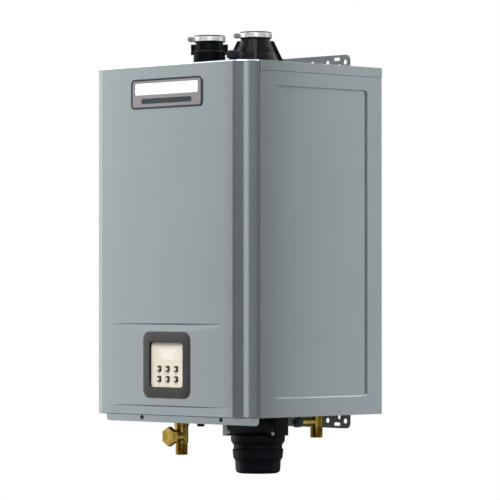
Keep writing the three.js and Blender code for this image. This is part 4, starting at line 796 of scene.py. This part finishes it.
def display():
    """Plain figures and a small ring after them."""
    parts = []
    for figure, x in FIGURES:
        parts.extend(figure_bars(figure, x, FIGURE_Z))
    ring_z = FIGURE_Z + FIGURE_HEIGHT / 2 - DEGREE_OUTER
    outer, inner = (arc(DEGREE_X, ring_z, r, 0, FULL, 16)[:-1] for r in (DEGREE_OUTER, DEGREE_INNER))
    parts.append(rim_faces(outer, inner, FACE_Y - FIGURE_PROUD, FACE_Y + FIGURE_SUNK))
    piece("display_figures", *merged(*parts), "cream_plastic", material=FIGURE_LIGHT)


control_bezel()
smoothed_copy("control_faceplate", move=fills_window)
# the lens's faint glow is painted light that lifts the bezel's shade
smoothed_copy("display_lens", material=LENS_PAINTED_GLOW)
for i, z in enumerate(KEY_ROWS):
    for j in range(3):
        key(3 * i + j + 1, (j - 1) * KEY_PITCH, z)
display()

# Vent collars: turned plastic flanges with fins, rubber sleeves in their mouths and worm-drive clamps
# Profiles give a radius and a height over the lid
VENT_X, VENT_Y = 69.5, -211.6
EXHAUST_PROFILE = [
    (36, -15), (39, -15), (39, 0), (62, 0), (62, 4.2), (61.2, 5), (53.5, 5), (51.6, 6.6), (42.9, 27),
    (42, 28), (41.3, 28.4), (37.5, 40.4), (36.6, 41.1), (36, 41.5), (30, 57.5), (32.6, 58.9), (33, 59.5),
    (30, 59.5), (30, 61.5), (26.5, 61.5), (26.5, 54.5), (36, 34), (36, -15),
]
INTAKE_PROFILE = [
    (25.5, -15), (28.5, -15), (28.5, 0), (56, 0), (56, 4.2), (55.2, 5), (36.5, 5), (34.5, 6.4), (33.2, 38.4),
    (32.4, 39), (31, 39.2), (28.5, 57.5), (32.6, 58.9), (33, 59.5), (30, 59.5), (30, 61.5), (25.5, 61.5),
    (25.5, -15),
]
SLEEVE_PROFILE = [
    (30.3, 59.5), (33, 59.5), (33, 71.4), (32.7, 72.1), (32.1, 72.4), (31.2, 72.4), (30.6, 72.1),
    (30.3, 71.4), (30.3, 59.5),
]
# Fins are drawn beside the collar's axis, with a thickness and the eighths of a turn where they stand
EXHAUST_FIN = [(48.4, 4), (61, 4), (61, 6), (38, 54), (29, 54)]
INTAKE_LUG = [(27.5, 32), (39.2, 32), (39.2, 54), (27.5, 54)]
EXHAUST_FINS = {"fin": EXHAUST_FIN, "thickness": 3.0, "eighths": (1, 3, 5, 7)}
INTAKE_LUGS = {"fin": INTAKE_LUG, "thickness": 9.0, "eighths": (1, 5)}


def turned_about(centre, angle):
    """Moves a shape drawn about the z axis to its place on a centre, turned by an angle."""
    ca, sa = math.cos(angle), math.sin(angle)
    return lambda x, y, z: (centre[0] + ca * x - sa * y, centre[1] + sa * x + ca * y, centre[2] + z)


def vent_collar(name, centre, profile, fin, thickness, eighths):
    parts = [turned_faces(profile, "z", centre, 96)]
    for eighth in eighths:
        move = turned_about(centre, FULL * eighth / 8)
        parts.append(prism_faces(fin, "y", -thickness / 2, thickness / 2, move=move, chamfer=0.3))
    options = {"replaces": [name], "smooth_angle": 28, "material": COLLAR_PLASTIC}
    piece(name + "_skin", *merged(*parts), "black_plastic", **options)


def vent_sleeve(name, centre):
    piece(name + "_sleeve", *turned_faces(SLEEVE_PROFILE, "z", centre, 96), "black_rubber", replaces=[name])


# The clamp's worm housing stands at the front left, and its slots follow it round the band
CLAMP_LOW, CLAMP_HIGH, CLAMP_RADIUS, CLAMP_BAND = 60.4, 69.6, 33.3, 1.2
CLAMP_OUTER = CLAMP_RADIUS + CLAMP_BAND
CLAMP_TURN = FULL * 5 / 8
BAND_SOFTNESS = 0.35
BAND_EDGE, BAND_FACE = CLAMP_OUTER - 0.7, CLAMP_OUTER - 0.45
BAND_PROFILE = [
    (CLAMP_RADIUS, CLAMP_LOW), (BAND_EDGE, CLAMP_LOW), (BAND_FACE, CLAMP_LOW + BAND_SOFTNESS),
    (BAND_FACE, CLAMP_HIGH - BAND_SOFTNESS), (BAND_EDGE, CLAMP_HIGH), (CLAMP_RADIUS, CLAMP_HIGH),
    (CLAMP_RADIUS, CLAMP_LOW),
]
SLOT_COUNT, SLOT_PITCH, FIRST_SLOT = 26, 3.4, 18
SLOT_HALF, SLOT_LEAN, SLOT_MARGIN, SLOT_LIFT = 0.45, 0.7, 2.3, 0.05
HOUSING_HALF, HOUSING_REACH, HOUSING_CROWN, HOUSING_Z = 5.5, 5.6, 5.0, 64.6
HOUSING_SUNK = 0.6
WORM_REACH = 6.4
WORM_PROFILE = [(0.0, -9.5), (2.4, -9.5), (2.9, -9.0), (2.9, 5.6), (5.2, 5.6), (5.2, 6.6), (5.1, 6.8)]
WORM_HEAD_FLATS, WORM_HEAD_LOW, WORM_HEAD_HIGH = 8.0, 6.8, 10.4
WORM_SLOT_HALF_LENGTH, WORM_SLOT_HALF_WIDTH, WORM_SLOT_SUNK, WORM_SLOT_LIFT = 3.0, 0.5, 0.1, 0.05


def clamp_slots(name, centre):
    """The leaning slots that the worm bites into."""
    slots = []
    for i in range(SLOT_COUNT):
        move = turned_about(centre, CLAMP_TURN - math.radians(FIRST_SLOT + SLOT_PITCH * i))
        corners = []
        for lean, z in ((-SLOT_LEAN, CLAMP_LOW + SLOT_MARGIN), (SLOT_LEAN, CLAMP_HIGH - SLOT_MARGIN)):
            corners += [(lean - SLOT_HALF, z), (lean + SLOT_HALF, z)]
        ring = [row_point(*move(BAND_FACE + SLOT_LIFT, across, z)) for across, z in corners]
        slots.append((ring, [(0, 1, 3, 2)]))
    piece(name + "_slots", *merged(*slots), "steel", material=DARK_SLOT)


def clamp_housing(name, centre):
    """The arched housing over the worm."""
    crown = arc(CLAMP_OUTER + HOUSING_REACH, HOUSING_Z, HOUSING_CROWN, QUARTER, -math.pi, 8)
    foot = CLAMP_OUTER - HOUSING_SUNK
    outline = [(foot, CLAMP_HIGH), *crown, (foot, CLAMP_LOW)]
    move = turned_about(centre, CLAMP_TURN)
    housing = prism_faces(outline, "y", -HOUSING_HALF, HOUSING_HALF, move=move, chamfer=0.5)
    piece(name + "_housing", *housing, "steel", material=MATERIALS["galvanised"])


def clamp_screw(name, centre):
    """The worm with its hexagon head and the slot across it."""
    move = turned_about(centre, CLAMP_TURN)
    x, z = CLAMP_OUTER + WORM_REACH, HOUSING_Z
    head = prism_faces(hexagon(WORM_HEAD_FLATS, x, z), "y", WORM_HEAD_LOW, WORM_HEAD_HIGH, chamfer=0.4)
    vertices, faces = merged(turned_faces(WORM_PROFILE, "y", (x, 0.0, z), 24), head)
    placed = [row_point(*move(*case_point(v))) for v in vertices]
    a, b = WORM_SLOT_HALF_LENGTH, WORM_SLOT_HALF_WIDTH
    outline = [(x - a, z - b), (x + a, z - b), (x + a, z + b), (x - a, z + b)]
    low, high = WORM_HEAD_HIGH - WORM_SLOT_SUNK, WORM_HEAD_HIGH + WORM_SLOT_LIFT
    slot = prism_faces(outline, "y", low, high, move=move)
    piece(name + "_screw", placed, faces, "steel", material=MATERIALS["galvanised"])
    piece(name + "_screw_slot", *slot, "steel", material=DARK_SLOT)


def vent_clamp(name, centre):
    piece(name + "_band", *turned_faces(BAND_PROFILE, "z", centre, 128), "steel", replaces=[name])
    clamp_slots(name, centre)
    clamp_housing(name, centre)
    clamp_screw(name, centre)


EXHAUST_CENTRE = (VENT_X, VENT_Y, CASE_HEIGHT)
INTAKE_CENTRE = (-VENT_X, VENT_Y, CASE_HEIGHT)
vent_collar("exhaust_collar", EXHAUST_CENTRE, EXHAUST_PROFILE, **EXHAUST_FINS)
vent_collar("intake_collar", INTAKE_CENTRE, INTAKE_PROFILE, **INTAKE_LUGS)
vent_sleeve("exhaust_seal", EXHAUST_CENTRE)
vent_sleeve("intake_seal", INTAKE_CENTRE)
vent_clamp("exhaust_clamp", EXHAUST_CENTRE)
vent_clamp("intake_clamp", INTAKE_CENTRE)

# Test port: a turned cap with grip ribs, on a neck in front of the exhaust collar
CAP_CENTRE = (83, -290, CASE_HEIGHT)
CAP_PROFILE = [
    (0, 0), (13.4, 0), (13.4, 2.4), (12.8, 3), (8, 3), (8, 14), (12.6, 14), (13.4, 14.8), (13.4, 26.5),
    (12.6, 28.8), (10.4, 30), (0, 30),
]
GRIP_FROM = 9


def knurled(ribs, height):
    """Gives a turned shape shallow grip ribs by sinking its outer radius between them."""
    half = height / 2
    return lambda radius, along, angle: radius - half * (1 + math.cos(angle * ribs)) * (radius > GRIP_FROM)


cap = turned_faces(CAP_PROFILE, "z", CAP_CENTRE, 144, knurled(24, 0.6))
piece("test_port_cap_skin", *cap, "black_plastic", replaces=["test_port_cap"])

# Pipe stubs: turned brass bodies, each with its thread as one winding ridge
THREAD_PITCH = 1.81
THREAD_CREST = 13.3
THREAD_ROOT = 12.25
THREAD_STEPS = 40
CREST_HALF, RIDGE_HALF, RIDGE_SUNK = 0.16, 0.8, 0.1
BORE = 9.5
NECK = 13.3
STUB_TOP = 30
TEE_X, TEE_Y = -146.0, -220.0
TEE_LOW, TEE_THREAD_TOP, TEE_ARM_Z = -91, -66, -51.5
TEE_BODY = [(14.2, -30.6), (15.0, -30), (15.6, -29.4), (15.6, 0)]
TEE_ARM = [(BORE, -248.5), (13.2, -248.5), (13.8, -247.9), (13.8, -219), (BORE, -219), (BORE, -248.5)]
PLUG_FLATS, PLUG_FRONT, PLUG_BACK = 36.5, -259.7, -248.5
PLUG_FACE = [(0, -260.05), (16.4, -260.05), (17.6, -259.6), (17.6, -259.2), (0, -259.2)]
ELBOW_X, ELBOW_Y = 157.0, -120.0
ELBOW_LOW, ELBOW_THREAD_TOP, ELBOW_ARM_Z = -48, -25, -14.5
ELBOW_BODY = [(14.4, -0.4), (14.0, 0)]
ELBOW_ARM = [(6.6, -169), (8.6, -169), (9, -168.6), (9, -108), (6.6, -108), (6.6, -169)]
KNOB_PROFILE = [
    (0, -178), (4.9, -178), (5, -184), (9.6, -184), (10.6, -183.4), (11.2, -182.4), (11.2, -169.6),
    (10.6, -169), (0, -169),
]
GAS_X = 20.0
GAS_LOW, GAS_THREAD_TOP, GAS_NUT_FLATS = -45, -18, 34.0
GAS_PROFILE = [
    (BORE, GAS_LOW), (THREAD_ROOT - 0.6, GAS_LOW), (THREAD_ROOT, -44.2), (THREAD_ROOT, GAS_THREAD_TOP),
    (THREAD_ROOT, 26), (BORE, 26), (BORE, GAS_LOW),
]
GLAND_CENTRE = (-55.5, -250, 0)
GLAND_PROFILE = [
    (3.5, -27.5), (6.2, -27.5), (7.4, -26.9), (8, -25.6), (8, -5), (11, -5), (11, 0), (8, 0), (8, 12),
    (3.5, 12), (3.5, -27.5),
]


def thread_ridge(centre, low, high):
    """One winding ridge between two heights, with tapered ends."""
    total = int((high - low - THREAD_PITCH) / THREAD_PITCH * THREAD_STEPS)
    taper = THREAD_STEPS / 3
    foot = THREAD_ROOT - RIDGE_SUNK
    vertices = []
    for i in range(total + 1):
        angle = FULL * i / THREAD_STEPS
        z = low + THREAD_PITCH / 2 + THREAD_PITCH * i / THREAD_STEPS
        crest = THREAD_ROOT + (THREAD_CREST - THREAD_ROOT) * min(1.0, i / taper, (total - i) / taper)
        for r, dz in ((foot, -RIDGE_HALF), (crest, -CREST_HALF), (crest, CREST_HALF), (foot, RIDGE_HALF)):
            x, y = centre[0] + r * math.cos(angle), centre[1] + r * math.sin(angle)
            vertices.append(row_point(x, y, z + dz))
    return vertices, bands(total + 1, 4, closed=False)


def stub_profile(low, thread_top, body):
    """The closed outline of a threaded stub: a thread below, its body, and the bore through it."""
    radius = body[0][0]
    thread = [(BORE, low), (THREAD_ROOT - 0.6, low), (THREAD_ROOT, low + 0.8), (THREAD_ROOT, thread_top)]
    shoulder = [(radius - 0.6, thread_top), (radius, thread_top + 0.6), *body]
    return [*thread, *shoulder, (NECK, 0), (NECK, STUB_TOP), (BORE, STUB_TOP), (BORE, low)]


def outlet_tee():
    """The tee with its side arm, and the hexagonal plug that closes the arm."""
    centre, arm_centre = (TEE_X, TEE_Y, 0), (TEE_X, 0, TEE_ARM_Z)
    tee = merged(
        turned_faces(stub_profile(TEE_LOW, TEE_THREAD_TOP, TEE_BODY), "z", centre, 96),
        turned_faces(TEE_ARM, "y", arm_centre, 96),
        thread_ridge(centre, TEE_LOW, TEE_THREAD_TOP),
    )
    plug = merged(
        prism_faces(hexagon(PLUG_FLATS, TEE_X, TEE_ARM_Z), "y", PLUG_FRONT, PLUG_BACK, chamfer=0.9),
        turned_faces(PLUG_FACE, "y", arm_centre, 64),
    )
    piece("outlet_tee_skin", *tee, "brass", replaces=["outlet_tee"], smooth_angle=35)
    piece("tee_plug_skin", *plug, "brass", replaces=["tee_plug"], smooth_angle=20)


def inlet_elbow():
    """The elbow with its side arm, and the ribbed knob that closes the arm."""
    centre, arm_centre = (ELBOW_X, ELBOW_Y, 0), (ELBOW_X, 0, ELBOW_ARM_Z)
    elbow = merged(
        turned_faces(stub_profile(ELBOW_LOW, ELBOW_THREAD_TOP, ELBOW_BODY), "z", centre, 96),
        turned_faces(ELBOW_ARM, "y", arm_centre, 64),
        thread_ridge(centre, ELBOW_LOW, ELBOW_THREAD_TOP),
    )
    knob = turned_faces(KNOB_PROFILE, "y", arm_centre, 192, knurled(12, 1.0))
    piece("inlet_elbow_skin", *elbow, "brass", replaces=["inlet_elbow"], smooth_angle=35)
    # the knob's paler grey is a painted sheen standing in for the light on its face
    options = {"body": "drain", "replaces": ["drain_knob"], "material": KNOB_PAINTED_SHEEN}
    piece("drain_knob_skin", *knob, "black_plastic", **options)


def gas_stub():
    """The threaded gas stub and the nut that holds it."""
    centre = (GAS_X, ELBOW_Y, 0)
    stub = merged(
        turned_faces(GAS_PROFILE, "z", centre, 96),
        prism_faces(hexagon(GAS_NUT_FLATS, GAS_X, ELBOW_Y), "z", GAS_THREAD_TOP, 0, chamfer=0.8),
        thread_ridge(centre, GAS_LOW, GAS_THREAD_TOP),
    )
    piece("gas_inlet_skin", *stub, "brass", replaces=["gas_inlet"], smooth_angle=35)


outlet_tee()
inlet_elbow()
gas_stub()
# The cable gland's nut has grip ribs too
gland = turned_faces(GLAND_PROFILE, "z", GLAND_CENTRE, 120, knurled(12, 0.5))
piece("cable_gland_skin", *gland, "black_plastic", replaces=["cable_gland"])

# Filter: a block under the case with a stepped skirt, and a twist-off bowl with a ribbed grip ring
BOWL_CENTRE = (146.0, -280.0, 0)
BLOCK_X, BLOCK_WIDTH, BLOCK_DEPTH, BLOCK_CORNER, BLOCK_LOW = 145.4, 140.6, 40, 3, -38
SKIRT_PROFILE = [
    (45.5, -66), (49.2, -66), (49.8, -65.4), (49.8, -57), (51, -57), (51.5, -56.4), (55, -50.6),
    (55.5, -49.6), (55.5, -38), (54.9, -37.6), (45.5, -37.6), (45.5, -66),
]
PORT_PROFILE = [(0, 0), (8, 0), (8, 14), (0, 14)]
PORT_REACH = 42
FILTER_SCREW = {"radius": 4.0, "height": 2.6}
FILTER_SCREW_XS = (81.3, 209.5)
FILTER_SCREW_Y, FILTER_SCREW_Z = -300, -33
BOWL_BOTTOM, BOWL_FLAT, BOWL_CORNER = -116.2, 37.5, 8.5
BOWL_NECK = [(46.9, -90.6), (47.3, -90), (48.6, -86.5), (49.2, -86)]
BOWL_INSIDE = [(45, -66.6), (45, -42), (42, -42), (42, -107), (39, -113.2), (0, -113.2)]
GRIP_PROFILE = [(48.0, -86), (49.6, -86), (50.6, -85.2), (52.4, -67.4), (51.8, -66.6), (45, -66.6)]
GRIP_RIBS, RIB_DEPTH, RIB_SLOPE, RIBBED_FROM = 40, 0.7, 0.08, 50


def filter_head():
    """The block with its skirt and ports, and the two screws in its front."""
    x, y, _ = BOWL_CENTRE
    block = rounded_outline(BLOCK_WIDTH, BLOCK_DEPTH, BLOCK_CORNER, BLOCK_X, y)
    parts = [prism_faces(block, "z", BLOCK_LOW, 0, chamfer=0.8)]
    parts.append(turned_faces(SKIRT_PROFILE, "z", BOWL_CENTRE, 128))
    for side in SIDES.values():
        parts.append(turned_faces(PORT_PROFILE, "z", (x + side * PORT_REACH, y, 0), 32))
    piece("filter_head_skin", *merged(*parts), "black_plastic", replaces=["filter_head"], smooth_angle=30)
    for word, screw_x in zip(SIDES, FILTER_SCREW_XS):
        node, place = "filter_screw_" + word, (screw_x, FILTER_SCREW_Y, FILTER_SCREW_Z)
        screw_head(node + "_head", place, "y", -1, **FILTER_SCREW, replaces=[node])


def ribbed(radius, along, angle):
    """Sinks the valleys between the grip's ribs, with short slopes beside them."""
    share = (angle * GRIP_RIBS / FULL) % 1.0
    slope = min(1.0, min(abs(share - 0.25), abs(share - 0.75)) / RIB_SLOPE) / 2
    valley = 0.5 - slope if 0.25 < share < 0.75 else 0.5 + slope
    return radius - RIB_DEPTH * valley * (radius > RIBBED_FROM)


def filter_bowl():
    corner = arc(BOWL_FLAT, BOWL_BOTTOM + BOWL_CORNER, BOWL_CORNER, -QUARTER, QUARTER, 8)
    bowl = merged(
        turned_faces([(0, BOWL_BOTTOM), *corner, *BOWL_NECK], "z", BOWL_CENTRE, 160),
        turned_faces(GRIP_PROFILE, "z", BOWL_CENTRE, 400, ribbed),
        turned_faces(BOWL_INSIDE, "z", BOWL_CENTRE, 96),
    )
    piece("filter_bowl_skin", *bowl, "black_plastic", body="bowl", replaces=["filter_bowl"])


filter_head()
filter_bowl()

# Stage, light and camera
CAMERA_PLACE = Vector((4.9904, -5.0555, -0.4755))
CAMERA_AZIMUTH = math.radians(45.56)
CAMERA_PITCH = math.radians(0.75)
FOCAL_PIXELS, IMAGE_PIXELS, SENSOR_MM = 3314.0, 500.0, 36.0
FLOOR_Z, FLOOR_RADIUS, FLOOR_STEPS = -1.0, 1.6, 96
MIRRORED_FADE = 0.65
SHADED_FADE = 0.9
LAMP_TARGET = Vector((0, -0.2, -0.36))
SCREEN_DISTANCE, SCREEN_HEIGHT = 1.5, 2.4


def pale_floor(name):
    """A pale matt floor that fades out into the white round it and is clear from below.

    Reflections see only a dim ring of it, with the dark under the heater left dark.
    """
    material, tree, place = new_material(name)
    stops = {0.3: linear("#f2f2f2"), 0.7: linear("#f6f6f6")}
    flat = add(tree, "VectorMath", {0: place, 1: (1.0, 1.0, 0.0)}, operation="MULTIPLY")
    away = add(tree, "VectorMath", {0: flat}, "Value", operation="LENGTH")
    # Each change gives the distances in metres where it starts and ends, and its values there
    changes = ((0.6, 1.1, 0.0, 1.0), (0.95, 1.15, SHADED_FADE, MIRRORED_FADE), (1.15, 1.4, 0.0, 1.0))
    fades = []
    for start, end, at_start, at_end in changes:
        limits = {"From Min": start, "From Max": end, "To Min": at_start, "To Max": at_end}
        fades.append(add(tree, "MapRange", {"Value": away, **limits}, interpolation_type="SMOOTHSTEP"))
    seen, shaded, outer = fades
    mirrored = add(tree, "Math", {0: shaded, 1: outer}, operation="MAXIMUM")
    straight = add(tree, "LightPath", output="Is Camera Ray")
    fade = add(tree, "Mix", {"Factor": straight, "A": mirrored, "B": seen})
    behind = add(tree, "NewGeometry", output="Backfacing")
    fade = add(tree, "Math", {0: fade, 1: behind}, operation="MAXIMUM")
    clear = add(tree, "BsdfTransparent")
    return finished(
        material, tree, mottled(tree, place, 400, stops, 0.88, 0.92, detail=2.0),
        through=lambda surface: add(tree, "MixShader", {0: fade, 1: surface, 2: clear}),
    )


def stage_floor():
    mesh = bpy.data.meshes.new("floor")
    edge = [(x, y, FLOOR_Z) for x, y in arc(0, 0, FLOOR_RADIUS, 0, FULL, FLOOR_STEPS)[:-1]]
    mesh.from_pydata(edge, [], [tuple(range(FLOOR_STEPS))])
    mesh.materials.append(pale_floor("pale_matt_floor"))
    floor = bpy.data.objects.new("floor", mesh)
    bpy.context.scene.collection.objects.link(floor)
    floor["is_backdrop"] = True


def softbox(name, azimuth, elevation, distance, width, height, watts):
    """An area lamp aimed at the heater; azimuth 0 is straight in front and 90 is to its right."""
    lamp = bpy.data.lights.new(name, "AREA")
    lamp.shape = "RECTANGLE"
    lamp.size = width
    lamp.size_y = height
    lamp.energy = watts
    made = bpy.data.objects.new(name, lamp)
    a, e = math.radians(azimuth), math.radians(elevation)
    away = Vector((math.sin(a) * math.cos(e), -math.cos(a) * math.cos(e), math.sin(e)))
    made.location = LAMP_TARGET + away * distance
    made.rotation_euler = (-away).to_track_quat("-Z", "Y").to_euler()
    made.visible_camera = False
    bpy.context.scene.collection.objects.link(made)


def screen(name, low, high, glow):
    """A tall softbox that fills this span of azimuth from the heater, with so many watts a square metre."""
    width = 2 * SCREEN_DISTANCE * math.tan(math.radians(high - low) / 2)
    watts = glow * width * SCREEN_HEIGHT
    softbox(name, (low + high) / 2, 0, SCREEN_DISTANCE, width, SCREEN_HEIGHT, watts)


def studio_world(seen, around):
    """Plain white to the camera; a dark surround for everything the light bounces from."""
    world = bpy.data.worlds.new("studio")
    world.use_nodes = True
    tree = world.node_tree
    tree.nodes.clear()
    straight = add(tree, "LightPath", output="Is Camera Ray")
    white, dark = (add(tree, "Background", {"Color": colour}) for colour in (seen, around))
    add(tree, "OutputWorld", {"Surface": add(tree, "MixShader", {0: straight, 1: dark, 2: white})})
    bpy.context.scene.world = world


def photo_camera():
    camera = bpy.data.cameras.new("camera")
    camera.sensor_width = SENSOR_MM
    camera.lens = FOCAL_PIXELS / IMAGE_PIXELS * SENSOR_MM
    camera.clip_end = 100.0
    made = bpy.data.objects.new("camera", camera)
    made.location = CAMERA_PLACE
    level = math.cos(CAMERA_PITCH)
    x, y = -math.sin(CAMERA_AZIMUTH) * level, math.cos(CAMERA_AZIMUTH) * level
    forward = Vector((x, y, math.sin(CAMERA_PITCH)))
    made.rotation_euler = forward.to_track_quat("-Z", "Y").to_euler()
    bpy.context.scene.collection.objects.link(made)
    bpy.context.scene.camera = made


stage_floor()
studio_world((1.0, 1.0, 1.0, 1.0), (0.01, 0.01, 0.01, 1.0))
# Each screen gives its span of azimuth and its glow
screen("left_rear", -165, -135, 0.8)
screen("left_side", -95, -62, 3.7)
screen("left_outer", -60, -45, 2.8)
screen("left_inner", -45, -30, 2.25)
screen("front", -20, 30, 0.5)
screen("right", 60, 115, 0.76)
screen("rear_right", 125, 143, 2.2)
screen("rear_right_end", 143, 160, 0.76)
# Each softbox gives its azimuth and elevation, then its distance, width and height in metres and its watts
softbox("over_front", 20, 50, 2.2, 2.0, 1.0, 62)
softbox("over_left", -88, 42, 2.4, 3.0, 1.6, 45)
softbox("over_right", 110, 50, 2.2, 2.0, 1.0, 15)
softbox("over_back", 178, 42, 2.4, 3.0, 1.6, 45)
softbox("overhead", 45, 86, 2.4, 2.4, 2.4, 28)
softbox("behind_camera", 49, 0, 5.2, 2.6, 5.0, 32)
photo_camera()
bpy.context.scene.view_settings.view_transform = "Standard"

lists = lambda box: [[float(c) for c in corner] for corner in box]
{"cad": lists(cad_box), "visual": lists(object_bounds())}
